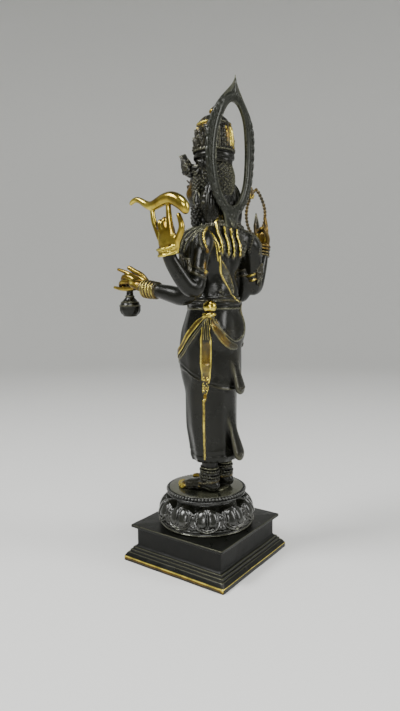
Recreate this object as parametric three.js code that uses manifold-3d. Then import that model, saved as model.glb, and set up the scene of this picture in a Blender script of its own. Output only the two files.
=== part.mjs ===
// Standing four-armed figure of Brahma, cast bronze, on a round lotus pedestal
// and a square stepped plinth, with a pointed oval halo behind the head.
//
// Millimetres, +Z up. The origin is the middle of the plinth's underside. The
// figure faces -Y, so its left side is +X.

import * as THREE from 'three';
import { mergeVertices } from 'three/addons/utils/BufferGeometryUtils.js';
import Module from 'manifold-3d';

const wasm = await Module();
wasm.setup();

// ---------------------------------------------------------------- dimensions

const GAP = 0.3;                 // joint line between two castings

const PLINTH_SIDE = 120;         // bottom step
const PLINTH_STEP = 4.5;         // height of the bottom step
const BLOCK_SIDE = 100.4;        // plain block
const BLOCK_FOOT = 15.6;         // top of the small mouldings
const SLAB_SIDE = 109.4;         // thin top slab
const SLAB_UNDER = 33.8;
const PLINTH_TOP = 36.6;

const LOTUS_FOOT_R = 46.5;       // base ring under the petals
const LOTUS_R = 50;              // widest part of the petals
const PETALS = 10;
const WAIST_R = 36.5;
const RIM_R = 39.6;              // beaded rim
const RIM_UNDER = 68.3;
const PEDESTAL_TOP = 72.3;

const SOLE = PEDESTAL_TOP + GAP;
const HEM_Z = 104;               // lower edge of the long skirt
const OVER_HEM_FRONT = 200;      // lower edge of the short over-skirt
const OVER_HEM_BACK = 174;
const HIP_Z = 232;
const BELT_Z = 258.5;
const WAIST_Z = 275;
const SHOULDER_Z = 318;
const NECK_Z = 342;
const HEAD_Z = 369;
const BAND_Z = 397;              // foot of the crown
const CROWN_TOP = 421;
const CROWN_R = 18;

const HALO_Y = 30.8;             // middle plane of the ring
const HALO_T = 4;                // its thickness
const HALO_FOOT = 338.2;
const ROOT_HALF_W = 10.5;        // root below the ring, at the nape
const ROOT_FOOT = 328;
const HALO_TIP = 464.6;
const HALO_WIDE_Z = 395;         // height of its greatest width
const HALO_HALF_W = 40.6;
const HALO_OPEN_FOOT = 348.4;    // the oval opening
const HALO_OPEN_TOP = 440.8;
const HALO_OPEN_WIDE_Z = 391;
const HALO_OPEN_HALF_W = 26.2;
const HALO_BEND = 385;           // above this height it leans back
const HALO_LEAN = 0.073;         // by this share of the height

// ------------------------------------------------------------------- helpers

const V = (x, y, z) => new THREE.Vector3(x, y, z);
const lerp = THREE.MathUtils.lerp;
const smooth = THREE.MathUtils.smoothstep;

/** A closed three.js geometry as a solid that can be joined and cut. */
function solid(geometry) {
  let g = geometry.index ? geometry.toNonIndexed() : geometry.clone();
  g.deleteAttribute('normal');
  g.deleteAttribute('uv');
  g = mergeVertices(g, 1e-4);
  const src = g.index.array;
  const tri = [];
  for (let i = 0; i < src.length; i += 3) {
    const [a, b, c] = [src[i], src[i + 1], src[i + 2]];
    if (a !== b && b !== c && a !== c) tri.push(a, b, c);
  }
  return new wasm.Manifold(new wasm.Mesh({
    numProp: 3,
    vertProperties: new Float32Array(g.attributes.position.array),
    triVerts: new Uint32Array(tri),
  }));
}

const join = (list) => list.reduce((a, b) => a.add(b));

/** Closed body through rings of equally many points, counter-clockwise about
 *  the direction in which the rings advance. */
function loft(rings) {
  const n = rings[0].length;
  const pos = [];
  const idx = [];
  rings.forEach((r) => r.forEach((p) => pos.push(p.x, p.y, p.z)));
  for (let i = 0; i + 1 < rings.length; i++) {
    for (let j = 0; j < n; j++) {
      const k = (j + 1) % n;
      const a = i * n + j, b = i * n + k, c = (i + 1) * n + k, d = (i + 1) * n + j;
      idx.push(a, b, c, a, c, d);
    }
  }
  const cap = (i, up) => {
    const c = rings[i].reduce((s, p) => s.add(p), V(0, 0, 0)).divideScalar(n);
    const ci = pos.length / 3;
    pos.push(c.x, c.y, c.z);
    for (let j = 0; j < n; j++) {
      const k = (j + 1) % n;
      if (up) idx.push(ci, i * n + j, i * n + k);
      else idx.push(ci, i * n + k, i * n + j);
    }
  };
  cap(0, false);
  cap(rings.length - 1, true);
  const g = new THREE.BufferGeometry();
  g.setAttribute('position', new THREE.Float32BufferAttribute(pos, 3));
  g.setIndex(idx);
  return solid(g);
}

/** Level oval ring: middle (0, yc), half width a, half depth b. */
function oval(z, yc, a, b, n, { e = 2, tilt = 0, wave = null } = {}) {
  const out = [];
  for (let j = 0; j < n; j++) {
    const t = (2 * Math.PI * j) / n;
    const c = Math.cos(t), s = Math.sin(t);
    const f = wave ? wave(t) : 0;
    const x = (a + f) * Math.sign(c) * Math.abs(c) ** (2 / e);
    const y = (b + f) * Math.sign(s) * Math.abs(s) ** (2 / e);
    out.push(V(x, yc + y, z - tilt * (y / b)));
  }
  return out;
}

/** Round limb through points with a radius at each. dome: which ends are
 *  rounded, 0 none, 1 the far one, 2 both. */
function limb(points, radii, { n = 7, steps = 0, flat = 1, up = V(0, 0, 1), dome = 2 } = {}) {
  let P = points.map((p) => V(...p));
  let R = radii.slice();
  if (steps) {
    const curve = new THREE.CatmullRomCurve3(P, false, 'centripetal');
    const m = P.length - 1;
    const Q = [], S = [];
    for (let i = 0; i <= steps; i++) {
      const u = i / steps;
      Q.push(curve.getPoint(u));
      const k = Math.min(m - 1, Math.floor(u * m));
      S.push(lerp(R[k], R[k + 1], u * m - k));
    }
    P = Q; R = S;
  }
  const last = P.length - 1;
  const tan = P.map((p, i) => P[Math.min(last, i + 1)].clone().sub(P[Math.max(0, i - 1)]).normalize());
  let u = up.clone().sub(tan[0].clone().multiplyScalar(up.dot(tan[0])));
  if (u.length() < 1e-3) u = V(1, 0, 0).sub(tan[0].clone().multiplyScalar(tan[0].x));
  u.normalize();
  const rings = [];
  const ring = (p, t, r) => {
    u = u.clone().sub(t.clone().multiplyScalar(u.dot(t))).normalize();
    const v = t.clone().cross(u);
    const out = [];
    for (let j = 0; j < n; j++) {
      const a = (2 * Math.PI * j) / n;
      out.push(p.clone().addScaledVector(u, r * flat * Math.cos(a)).addScaledVector(v, r * Math.sin(a)));
    }
    rings.push(out);
  };
  if (dome === 2) ring(P[0].clone().addScaledVector(tan[0], -R[0] * 0.75), tan[0], R[0] * 0.5);
  P.forEach((p, i) => ring(p, tan[i], R[i]));
  if (dome) ring(P[last].clone().addScaledVector(tan[last], R[last] * 0.75), tan[last], R[last] * 0.5);
  return loft(rings);
}

/** Closed tube through a loop of points. */
function hoop(points, r, k = 5) {
  const P = points.map((p) => V(...p));
  const m = P.length;
  const mid = P.reduce((a, p) => a.add(p), V(0, 0, 0)).divideScalar(m);
  const pos = [], idx = [];
  P.forEach((p, i) => {
    const t = P[(i + 1) % m].clone().sub(P[(i + m - 1) % m]).normalize();
    const out = p.clone().sub(mid);
    out.sub(t.clone().multiplyScalar(out.dot(t))).normalize();
    const side = t.clone().cross(out);
    for (let j = 0; j < k; j++) {
      const a = (2 * Math.PI * j) / k;
      const q = p.clone().addScaledVector(out, r * Math.cos(a)).addScaledVector(side, r * Math.sin(a));
      pos.push(q.x, q.y, q.z);
    }
  });
  for (let i = 0; i < m; i++) {
    for (let j = 0; j < k; j++) {
      const a = i * k + j, b = i * k + ((j + 1) % k);
      const c = ((i + 1) % m) * k + ((j + 1) % k), d = ((i + 1) % m) * k + j;
      idx.push(a, b, c, a, c, d);
    }
  }
  const g = new THREE.BufferGeometry();
  g.setAttribute('position', new THREE.Float32BufferAttribute(pos, 3));
  g.setIndex(idx);
  return solid(g);
}

function ellipsoid(c, r, n = 12, m = 8, turn = null) {
  const g = new THREE.SphereGeometry(1, n, m);
  g.rotateX(Math.PI / 2);
  g.scale(...r);
  if (turn) g.applyMatrix4(new THREE.Matrix4().makeRotationFromEuler(new THREE.Euler(...turn)));
  g.translate(...c);
  return solid(g);
}

/** Turned body about the vertical line through (x, y). */
function turned(profile, n = 16, x = 0, y = 0) {
  const g = new THREE.LatheGeometry(profile.map(([r, z]) => new THREE.Vector2(r, z)), n);
  g.rotateX(Math.PI / 2);
  g.translate(x, y, 0);
  return solid(g);
}

/** Flat leaf, upright, standing out along angle t about the z axis. */
function leaf(t, r, z, w, h, thick, yc, lean = 0.25) {
  const s = new THREE.Shape();
  s.moveTo(-w * 0.3, 0);
  s.quadraticCurveTo(-w * 0.75, h * 0.45, 0, h);
  s.quadraticCurveTo(w * 0.75, h * 0.45, w * 0.3, 0);
  s.closePath();
  const g = new THREE.ExtrudeGeometry(s, { depth: thick, bevelEnabled: false, curveSegments: 2 });
  g.translate(0, 0, -thick / 2);
  g.rotateX(Math.PI / 2 - lean);       // stand up: shape y -> z
  g.rotateZ(t + Math.PI / 2);
  g.translate(r * Math.cos(t), yc + r * Math.sin(t), z);
  return solid(g);
}

/** Ring of rope or metal on a level oval. */
function band(z, yc, a, b, half, proud, n, opt = {}) {
  const o = (dz, d) => oval(z + dz, yc, a + d, b + d, n, opt);
  return loft([o(-half, -2), o(-half, proud), o(half, proud), o(half, -2)]);
}

// -------------------------------------------------------------------- plinth

const squareRing = (h, z) => [V(h, -h, z), V(h, h, z), V(-h, h, z), V(-h, -h, z)];

function makePlinth() {
  const H = PLINTH_SIDE / 2, B = BLOCK_SIDE / 2, S = SLAB_SIDE / 2;
  const steps = [
    [H, 0], [H, PLINTH_STEP],
    [H - 2.6, 8.4], [H - 4.4, 9], [H - 4.4, 11.0],
    [H - 6.4, 11.4], [H - 6.4, 13.3],
    [H - 8.4, 13.7], [B, BLOCK_FOOT], [B, SLAB_UNDER],
    [S, SLAB_UNDER], [S, PLINTH_TOP - 0.5], [S - 0.5, PLINTH_TOP],
  ];
  return loft(steps.map(([h, z]) => squareRing(h, z)));
}

// ------------------------------------------------------------ lotus pedestal

function makePedestal() {
  const z0 = PLINTH_TOP + GAP;
  const core = turned([
    [0, z0], [LOTUS_FOOT_R, z0], [LOTUS_FOOT_R + 1, z0 + 1.4], [LOTUS_FOOT_R + 1, z0 + 3],
    [LOTUS_FOOT_R - 0.5, z0 + 4.4], [WAIST_R + 2, 56], [WAIST_R, 63],
    [RIM_R, RIM_UNDER], [RIM_R - 0.6, RIM_UNDER + 2],
    [RIM_R + 0.2, PEDESTAL_TOP - 1], [RIM_R - 0.8, PEDESTAL_TOP], [0, PEDESTAL_TOP],
  ], 24);
  // One ring of down-turned petals: full in the middle, with a groove between
  // two petals, an arched upper edge and a tip that hangs over the base ring.
  const per = 4;
  const n = PETALS * per;
  const rings = [];
  const levels = [
    // share of height, radius, depth of the groove between petals
    [0.00, 41.0, 0.0], [0.04, LOTUS_R - 2.6, 1.2], [0.34, LOTUS_R, 3.4],
    [0.66, LOTUS_R - 1.6, 3.8], [1.00, 42.6, 1.0], [1.00, 36.0, 0.0],
  ];
  for (const [f, r, groove] of levels) {
    const ring = [];
    for (let j = 0; j < n; j++) {
      const t = (2 * Math.PI * j) / n;
      const q = Math.abs(((j % per) / per) * 2 - 1);      // 1 on a petal's axis, 0 in the groove
      const crest = 1 - (1 - q) ** 2.2;
      const lo = lerp(42.6, 41.0, crest);
      const hi = lerp(56.5, 61.8, crest);
      const rr = r - groove * (1 - crest);
      ring.push(V(rr * Math.cos(t), rr * Math.sin(t), lerp(lo, hi, f)));
    }
    rings.push(ring);
  }
  return core.add(loft(rings));
}

// --------------------------------------------------------------------- halo

/** Half width of a pointed oval at height z: elliptic below its greatest
 *  width, drawn to a point above; k0 and k1 shape the point. */
function ovalWidth(z, foot, wide, top, w, k0, k1) {
  if (z <= wide) return w * Math.sqrt(Math.max(0, 1 - ((wide - z) / (wide - foot)) ** 2));
  const f = Math.min(1, (z - wide) / (top - wide));
  return w * (1 - f * f) ** (k0 + k1 * f);
}

const haloOuter = (z) => ovalWidth(z, HALO_FOOT, HALO_WIDE_Z, HALO_TIP, HALO_HALF_W, 0.15, 1.12);
const haloOpening = (z, grow = 0) => ovalWidth(z, HALO_OPEN_FOOT - grow, HALO_OPEN_WIDE_Z, HALO_OPEN_TOP + grow,
  HALO_OPEN_HALF_W + grow, 0.5, 0);

/** Loop of points [x, z] round a pointed oval, closer together at its ends. */
function ovalLoop(width, foot, top, half) {
  const side = [];
  for (let i = 0; i <= half; i++) {
    const z = lerp(foot, top, (1 - Math.cos((Math.PI * i) / half)) / 2);
    side.push([i === 0 || i === half ? 0 : width(z), z]);
  }
  return side.concat(side.slice(1, -1).reverse().map(([x, z]) => [-x, z]));
}

function makeHalo() {
  const s = new THREE.Shape();
  ovalLoop(haloOuter, HALO_FOOT, HALO_TIP, 15).forEach(([x, z], i) => (i ? s.lineTo(x, z) : s.moveTo(x, z)));
  s.closePath();
  const hole = new THREE.Path();
  ovalLoop(haloOpening, HALO_OPEN_FOOT, HALO_OPEN_TOP, 12).forEach(([x, z], i) => (i ? hole.lineTo(x, z) : hole.moveTo(x, z)));
  hole.closePath();
  s.holes.push(hole);
  const g = new THREE.ExtrudeGeometry(s, { depth: HALO_T * 0.62, bevelEnabled: false, curveSegments: 1 });
  g.translate(0, 0, -HALO_T * 0.31);
  g.rotateX(Math.PI / 2);
  // raised inner rib, round in section
  const grow = 2.4;
  const rib = ovalLoop((z) => haloOpening(z, grow), HALO_OPEN_FOOT - grow, HALO_OPEN_TOP + grow, 12);
  const ring = solid(g).add(hoop(rib.map(([x, z]) => [x, 0, z]), HALO_T / 2 + 0.4, 5));
  // root that widens into the ring and joins it to the hair at the nape
  const root = new THREE.Shape();
  [[-ROOT_HALF_W, ROOT_FOOT], [ROOT_HALF_W, ROOT_FOOT], [ROOT_HALF_W, 334], [17, 346], [-17, 346], [-ROOT_HALF_W, 334]]
    .forEach(([x, z], i) => (i ? root.lineTo(x, z) : root.moveTo(x, z)));
  root.closePath();
  const r = new THREE.ExtrudeGeometry(root, { depth: HALO_T * 0.62, bevelEnabled: false, curveSegments: 1 });
  r.translate(0, 0, -HALO_T * 0.31);
  r.rotateX(Math.PI / 2);
  return ring.add(solid(r));
}

/** Sets the ring in its plane, with the upper part leaning back. */
const haloPlace = (p) => {
  const up = Math.max(0, p[2] - HALO_BEND);
  return [p[0], p[1] + HALO_Y + (HALO_LEAN * up * up) / (up + 10), p[2]];
};

// ------------------------------------------------------------------- figure

const mirror = (pts) => pts.map(([x, y, z]) => [-x, y, z]);

function makeTrunk() {
  const N = 12;
  const torso = loft([
    oval(BELT_Z - 1, 13, 26.6, 19.8, N), oval(WAIST_Z, 13.5, 24, 17.4, N),
    oval(288, 13.5, 26.5, 17.4, N), oval(300, 13.5, 31, 18, N), oval(311, 14, 35, 17.6, N, { e: 2.2 }),
    oval(321, 14.5, 35, 14.5, N, { e: 2.2 }), oval(327, 14, 25, 12, N), oval(331, 12.5, 13.5, 10.5, N),
  ]);
  const neck = limb([[0, 11.5, 326], [0, 9.5, NECK_Z], [0, 7.5, 354]], [10.4, 9.2, 9.6], { n: 8, dome: 0 });
  const chest = [1, -1].map((s) => ellipsoid([s * 13, 1.6, 303], [12.5, 6.5, 9], 7, 4));
  return [torso, neck, ...chest];
}

function makeSkirt() {
  const N = 18;
  // fine upright folds, deeper in the middle of the front
  const fold = (deep) => (t) => {
    const front = smooth(-Math.sin(t), 0.5, 1);
    return deep * (0.5 * Math.cos(6 * t) + front * 1.1 * Math.cos(12 * t));
  };
  const dhoti = loft([
    oval(HEM_Z, 11.4, 24.4, 20.6, N, { wave: fold(1.4) }), oval(112, 11, 26.2, 22.2, N, { wave: fold(1.4) }),
    oval(142, 7.6, 29, 23.4, N, { wave: fold(1.1) }), oval(172, 7.4, 29.8, 23.6, N, { wave: fold(0.9) }),
    oval(214, 8.6, 31, 24.4, N),
  ]);
  // hollow of the skirt around the ankles
  const under = loft([oval(HEM_Z - 3, 11, 22.5, 17, 12), oval(HEM_Z + 9, 11, 16, 11, 12)]);
  const mid = (OVER_HEM_FRONT + OVER_HEM_BACK) / 2, slope = (OVER_HEM_FRONT - OVER_HEM_BACK) / 2;
  const M = 12;
  const over = loft([
    oval(mid, 9.2, 28, 23, M, { tilt: slope }), oval(mid, 9.2, 32.2, 26.8, M, { tilt: slope }),
    oval(mid + 16, 8.8, 33.4, 27.2, M, { tilt: slope * 0.7 }), oval(HIP_Z - 4, 8.6, 34.2, 26.6, M, { tilt: 3 }),
    oval(246, 10.5, 31.6, 24.1, M), oval(BELT_Z + 1, 12.9, 29, 22, M),
  ]);
  // loose corner of cloth at the back of the hem, and of the over-skirt
  const corner = (x, pts, r) => limb(pts.map(([y, z]) => [x, y, z]), r, { n: 5, flat: 0.34, up: V(0, 1, 0), dome: 0 });
  // middle pleat of the front
  const pleat = limb([[0, -17, 236], [0, -18.6, 190], [0, -17.6, 150], [0, -14.8, 108]], [4.6, 5.4, 5.2, 5.6],
    { n: 5, flat: 1.25, up: V(1, 0, 0), dome: 0 });
  return [dhoti.subtract(under), over, corner(-1, [[26, 168], [31.4, 136], [37.8, 110.6]], [3, 7, 9.6]),
    corner(-2, [[33, 214], [34, 196], [38.2, 175.4]], [3, 7, 9]), pleat];
}

/** Point on the skirt's surface at angle t (0 = figure's left, 90 deg = back). */
function onSkirt(t, z, out = 0) {
  const table = [[170, 7, 29.8, 23.6], [190, 9.2, 32.4, 27], [212, 8.8, 33.6, 27.1], [HIP_Z, 8.6, 34, 26.4],
    [246, 10.5, 31.6, 24.1], [BELT_Z, 13, 29, 21.9]];
  let i = 0;
  while (i + 2 < table.length && z > table[i + 1][0]) i++;
  const f = (z - table[i][0]) / (table[i + 1][0] - table[i][0]);
  const [yc, a, b] = [1, 2, 3].map((k) => lerp(table[i][k], table[i + 1][k], f));
  const r = THREE.MathUtils.degToRad(t);
  return [(a + out) * Math.cos(r), yc + (b + out) * Math.sin(r), z];
}

function makeSashes() {
  const parts = [];
  parts.push(band(BELT_Z + 0.6, 13, 28.8, 21.7, 3.6, 2.2, 14));
  for (const s of [1, -1]) {
    const k = s > 0 ? [29, 26, 254.6] : [-33.6, 3, 254.6];
    parts.push(ellipsoid(k, [6.4, 6.4, 6.2], 7, 5));
    parts.push(turned([[0, k[2] - 10.4], [6, k[2] - 9.6], [7.6, k[2] - 6.4], [3, k[2] - 4.6], [0, k[2] - 4.6]],
      6, k[0] - s * 1.6, k[1] - 1.4));
    // angle round the skirt; everything on the right lies further forward
    const side = (t) => (s > 0 ? t : 180 - t + 42 * smooth(t, -92, 34));
    // hanging tail, then the narrow lower strip
    const tail = [249, 225, 190, 169].map((z, i) => onSkirt(side(30 - i), z, 0.1));
    parts.push(limb(tail, [5, 5.6, 5.2, 1.4], { n: 5, flat: 0.62, up: V(s * 0.8, 0.6, 0), dome: 0 }));
    const strip = s > 0 ? [[27, 16.6, 166], [26.4, 15.8, 140], [24.4, 15, 106]]
      : [[-30, 4, 166], [-29.4, 4, 140], [-25.6, 6, 106]];
    parts.push(limb(strip, [3.4, 3.2, 1.8], { n: 4, flat: 0.7, up: V(s, 0.2, 0), dome: 0 }));
    // swags forward, falling to the middle of the front, and backward
    for (const [dz, r] of [[0, 3.2]]) {
      const pts = [[31, 245], [2, 230 + dz], [-25, 216 + dz], [-60, 203 + dz], [-92, 197 + dz]];
      parts.push(limb(pts.map(([t, z]) => onSkirt(side(t), z, -0.6)), [r, r + 0.8, r + 0.8, r + 0.8, r + 0.8], { n: 4, dome: 0 }));
    }
    const pts = [[36, 245], [52, 231], [74, 218.5], [94, 215.5]];
    parts.push(limb(pts.map(([t, z]) => onSkirt(side(t), z, -0.2)), [2.4, 3, 3, 3], { n: 4, dome: 0 }));
  }
  // thread from the left shoulder down the back, over the belt, up to the knot
  const thread = [[27, 27.4, 322], [24, 31, 312], [20.5, 31.6, 298], [15, 31, 284], [5, 33.2, 270], [-4, 36, 259]];
  parts.push(limb(thread, [1.6, 1.6, 1.6, 1.8, 2, 1.8], { n: 3, dome: 0 }));
  const drop = [[-5, 36, 259], [-11, 34.6, 246], [-12, 34.6, 232], [-1, 35.6, 222], [14, 32.8, 227], [25, 27.2, 240]];
  parts.push(limb(drop, [1.6, 1.6, 1.6, 1.6, 1.6, 1.6], { n: 3, dome: 0 }));
  return parts;
}

function makeLegs() {
  const parts = [];
  for (const s of [1, -1]) {
    parts.push(limb([[s * 12, 12.5, 114], [s * 12, 13, 95], [s * 12.4, 12.6, 80]], [9, 7.2, 7], { n: 7, dome: 0 }));
    parts.push(turned([[0, 84], [9, 84], [9, 92], [0, 92]], 7, s * 12.2, 13));
    // foot: heel, instep, ball, flat sole
    parts.push(limb([[s * 12.4, 18, 79], [s * 13.6, 6, 79.5], [s * 15.2, -8, 77], [s * 16.4, -16, 75.4]],
      [6.6, 7.2, 7, 5.6], { n: 6 }));
    for (let i = 0; i < 5; i++) {
      const x = 11.4 + i * 2.65, y = -23.4 + i * i * 0.55, r = i === 0 ? 2 : 1.35;
      parts.push(limb([[s * x, -14, 75], [s * (x + 0.5), y, SOLE + r + 0.6]], [r, r], { n: 4, dome: 0 }));
    }
  }
  // level off everything below the soles
  const cut = new THREE.BoxGeometry(120, 120, 20);
  cut.translate(0, 0, SOLE - 10);
  return [join(parts).subtract(solid(cut))];
}

// Upper arms and forearms; the rear pair is raised, the front pair reaches out.
const REAR_L = [[37, 24, 317], [43.6, 29, 311], [50.4, 29.6, 290], [54, 28.8, 272], [61, 26.2, 270.4], [70, 22, 284], [78.5, 17.8, 301]];
const REAR_R = [[-37, 24, 319], [-43, 27.6, 312.6], [-48, 25.8, 291], [-54, 23.2, 274.5], [-61.5, 22.2, 273.5], [-71.6, 21.2, 292], [-79.5, 20.5, 312]];
const FRONT_L = [[37, 15, 317], [44, 14.5, 311], [46, 17.5, 290], [48, 18.5, 270], [48, 12, 263], [48, -6, 267], [48, -26, 270.6]];
const FRONT_R = [[-37, 15, 317], [-44, 14.5, 311], [-46, 17, 290], [-46.6, 17, 269], [-47, 11, 264.5], [-44, -7, 277], [-42, -18, 290]];
const REAR_W = [9.5, 9.3, 7.5, 7.2, 7.4, 6.9, 5.6];
const FRONT_W = [8.8, 9.4, 8.2, 7.8, 7.6, 6.9, 5.4];

function makeArms() {
  const o = { n: 6, dome: 0 };
  const parts = [limb(REAR_L, REAR_W, o), limb(REAR_R, REAR_W, o), limb(FRONT_L, FRONT_W, o), limb(FRONT_R, FRONT_W, o)];
  const ringOn = (p, d, r, h) => {
    const axis = V(...d).normalize();
    const q = new THREE.CylinderGeometry(r, r, h, 7, 1);
    q.applyQuaternion(new THREE.Quaternion().setFromUnitVectors(V(0, 1, 0), axis));
    q.translate(...p);
    return solid(q);
  };
  // armlets on the four upper arms, with a leaf on the front pair
  for (const s of [1, -1]) {
    parts.push(ringOn([s * 49.8, s > 0 ? 29.6 : 25.2, 285.4], [s * 0.3, 0, -1], 8.6, 5));
    parts.push(ringOn([s * 46.2, 17.6, 288], [s * 0.1, 0.1, -1], 9.6, 3));
    parts.push(leaf(s > 0 ? -0.35 : Math.PI + 0.35, 51, 286, 11, 15, 7, 31, 0.02));
  }
  // wrist cuffs
  parts.push(ringOn([78.6, 17.6, 302.6], [0.2, -0.1, 1], 9.6, 5.6), ringOn([-79.6, 20.4, 314.6], [-0.2, 0, 1], 8, 2.6));
  parts.push(ringOn([48, -27, 270.8], [0, -1, 0.2], 7.6, 9), ringOn([-42.3, -16.4, 288], [0.1, -0.65, 0.75], 7.4, 4));
  return parts;
}

/** Raised hand: palm, two bent and two upright fingers, thumb. Wrist at w,
 *  palm broad along y, back of the hand outward; k scales it. */
function raisedHand(w, s, k, tips, thumb = 1) {
  const H = (x, y, z) => [w[0] + s * y * k, w[1] + x * k, w[2] + z * k];
  const parts = [limb([H(0, 0, -2), H(0, 0, 8), H(0, -0.4, 17)], [6, 9, 9.2].map((r) => r * k),
    { n: 5, flat: 0.46, up: V(s, 0, 0), dome: 0 })];
  const finger = (pts, r) => parts.push(limb(pts, pts.map((_, i) => (r - i * 0.2) * k), { n: 4, dome: 0 }));
  finger([H(-7, 0, 11), H(-12, 0, 23), tips[0]], 2.6);                   // little finger, upright
  finger([H(-3, 0, 14), H(-4.6, -2, 24), H(-4.4, -5.4, 27)], 2.7);       // ring finger, bent
  finger([H(1.2, 0, 14), H(0.6, -2.4, 25), H(0.2, -5.8, 28)], 2.8);      // middle finger, bent
  finger([H(5, 0, 13), H(3.6, 0, 27), tips[1]], 2.8);                    // first finger, upright
  finger([H(6.6, 0, 5), H(7 + 7.6 * thumb, -0.4, 18), H(7 + 4.4 * thumb, -1, 29)], 2.9);  // thumb
  return parts;
}

function makeHands() {
  const parts = [
    ...raisedHand([79, 17.6, 302], 1, 1, [[79, 1.2, 339], [79, 18.6, 342]]),
    ...raisedHand([-79.6, 19.6, 313], -1, 0.78, [[-79.6, 11, 341], [-79.6, 22, 347]], 0.25),
  ];
  // curved emblem with a drawn-out tip, resting on the left fingertips
  parts.push(limb([[79, -23.4, 345.6], [79, -18.4, 348.1], [79, -12.5, 347.3], [79, -5.7, 343.6], [79, 1, 341.6],
    [79, 8, 343.6], [79, 15.4, 345.8], [79, 23, 345.8], [79, 30.3, 342.3], [79, 35.4, 338], [79, 37.4, 335]],
    [1.5, 2.2, 2.5, 3, 3.9, 4.4, 4.8, 5.2, 5.4, 5, 3.4], { n: 6, dome: 0 }));
  // front left hand over the water pot
  parts.push(limb([[48, -27, 271], [48, -39, 275], [48, -47, 277.6]], [6, 8, 7.8], { n: 5, flat: 0.6, up: V(0.4, 0, 1), dome: 0 }));
  const f = (pts, r) => parts.push(limb(pts, pts.map((_, i) => r - i * 0.2), { n: 4, dome: 0 }));
  f([[46, -44, 280.6], [46.5, -58, 286.6], [47, -71, 291.4]], 2.8);       // first finger, extended
  f([[43, -38, 279], [43.5, -50, 287], [45, -58.4, 292.6]], 3);           // thumb
  f([[48, -45, 278.4], [48.5, -60, 282.6], [46, -65, 279]], 2.9);         // middle finger, curled
  f([[49.5, -44, 275], [50, -60, 276.6], [48, -66.5, 274.6]], 2.8);       // ring finger, curled
  f([[50.6, -42, 272.4], [51.6, -58, 271.6], [51, -73, 273.6]], 2.5);     // little finger
  parts.push(turned([[0, 244.8], [6, 245.6], [10.3, 251], [10, 257], [4.6, 263.6], [4.2, 274], [0, 275]], 8, 48, -55.4));
  // front right hand, raised in blessing
  parts.push(limb([[-42.2, -17, 288], [-41.5, -21.5, 301], [-41.5, -22.5, 311]], [5.6, 8.2, 8], { n: 5, flat: 0.5, up: V(0, -1, 0), dome: 0 }));
  for (let i = 0; i < 4; i++) {
    const x = -47.6 + i * 4.1, l = [17, 21, 22.5, 19][i];
    f([[x, -22.4, 306], [x, -23.6, 318], [x + 0.2, -23.4, 313 + l]], 2.05);
  }
  f([[-37, -21, 297], [-31.5, -23.6, 306], [-31, -24, 313]], 2.9);
  // beaded loop held up by the right rear hand, pointed above
  const M = 10;
  const loop = Array.from({ length: M }, (_, i) => {
    const a = (2 * Math.PI * i) / M;
    const up = Math.sin(a);
    const w = 10 * Math.cos(a) * (up > 0 ? 1 - 0.5 * up * up : 1);
    return [-80 + w * 0.58, 11.4 - w * 0.82, 351 + (up > 0 ? 26 : 22) * up];
  });
  parts.push(hoop(loop, 2.3, 4));
  parts.push(limb([[-80.5, 12, 329], [-80.5, 12, 341], [-80.5, 12, 353]], [3.4, 3.8, 1.4], { n: 4, dome: 0 }));
  return parts;
}

function makeHead() {
  const parts = [];
  // face and skull
  parts.push(ellipsoid([0, 4.5, HEAD_Z + 1], [16.8, 20.2, 21.7], 10, 6));
  parts.push(ellipsoid([0, -3, 356.5], [11.6, 12.2, 8.8], 7, 4));
  parts.push(limb([[0, -14.4, 377], [0, -17.2, 370], [0, -19.2, 364.6]], [1.9, 2.4, 3.2], { n: 4, dome: 0 }));
  parts.push(ellipsoid([0, -14.8, 357.6], [4.8, 2.8, 2.4], 6, 4));
  for (const s of [1, -1]) {
    // ear with its long lobe and hanging ornament
    parts.push(limb([[s * 17, 5.4, 377], [s * 18, 4.8, 366], [s * 19.4, 4.6, 357], [s * 21.4, 4.8, 348], [s * 24, 6, 338], [s * 28, 8.6, 329]],
      [4, 5.2, 5.2, 5.6, 5, 3.6], { n: 5, dome: 0 }));
    // flower above the ear
    parts.push(leaf(s > 0 ? -0.35 : Math.PI + 0.35, 20.5, 380, 11, 15, 6, 2, 0.1));
  }
  // hair gathered under the crown and down to the nape
  parts.push(ellipsoid([0, 12, 374], [19.8, 20, 25.2], 10, 6));
  parts.push(limb([[0, 16.6, 352], [0, 20.2, 338], [0, 21.5, 326]], [10.4, 8.6, 9], { n: 7, dome: 0 }));
  return parts;
}

function makeCrown() {
  const parts = [];
  parts.push(turned([
    [0, 386], [19.6, 387], [19.4, 393], [18, BAND_Z - 2], [19.6, BAND_Z - 1], [19.4, BAND_Z + 2.4],
    [CROWN_R, 403], [CROWN_R + 0.4, 412], [CROWN_R - 0.8, CROWN_TOP], [CROWN_R - 4, 427], [CROWN_R - 9, 431.6],
    [4.4, 433.4], [4.8, 437.6], [0, 442],
  ], 10, 0, 12));
  // leaves around the foot of the crown, largest in front
  for (let i = 0; i < 6; i++) {
    const t = -Math.PI / 2 + (i * Math.PI) / 3;
    const big = i === 0 ? 1.25 : 1;
    if (i !== 3) parts.push(leaf(t, 17.8, 397, 10 * big, 15 * big, 4, 12, 0.1));
  }
  parts.push(leaf(-Math.PI / 2, 16.4, 413, 10, 18, 4, 12, -0.1));
  // diadem: tall middle crest between two smaller leaves, over the brow
  parts.push(leaf(-Math.PI / 2, 23, 380, 15, 21, 6, 4, 0.12));
  for (const s of [1, -1]) parts.push(leaf(-Math.PI / 2 + s * 0.7, 21, 380, 11, 15, 6, 4, 0.1));
  parts.push(band(382.5, 5, 17.6, 21, 2.4, 1.8, 12));
  return parts;
}

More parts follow.
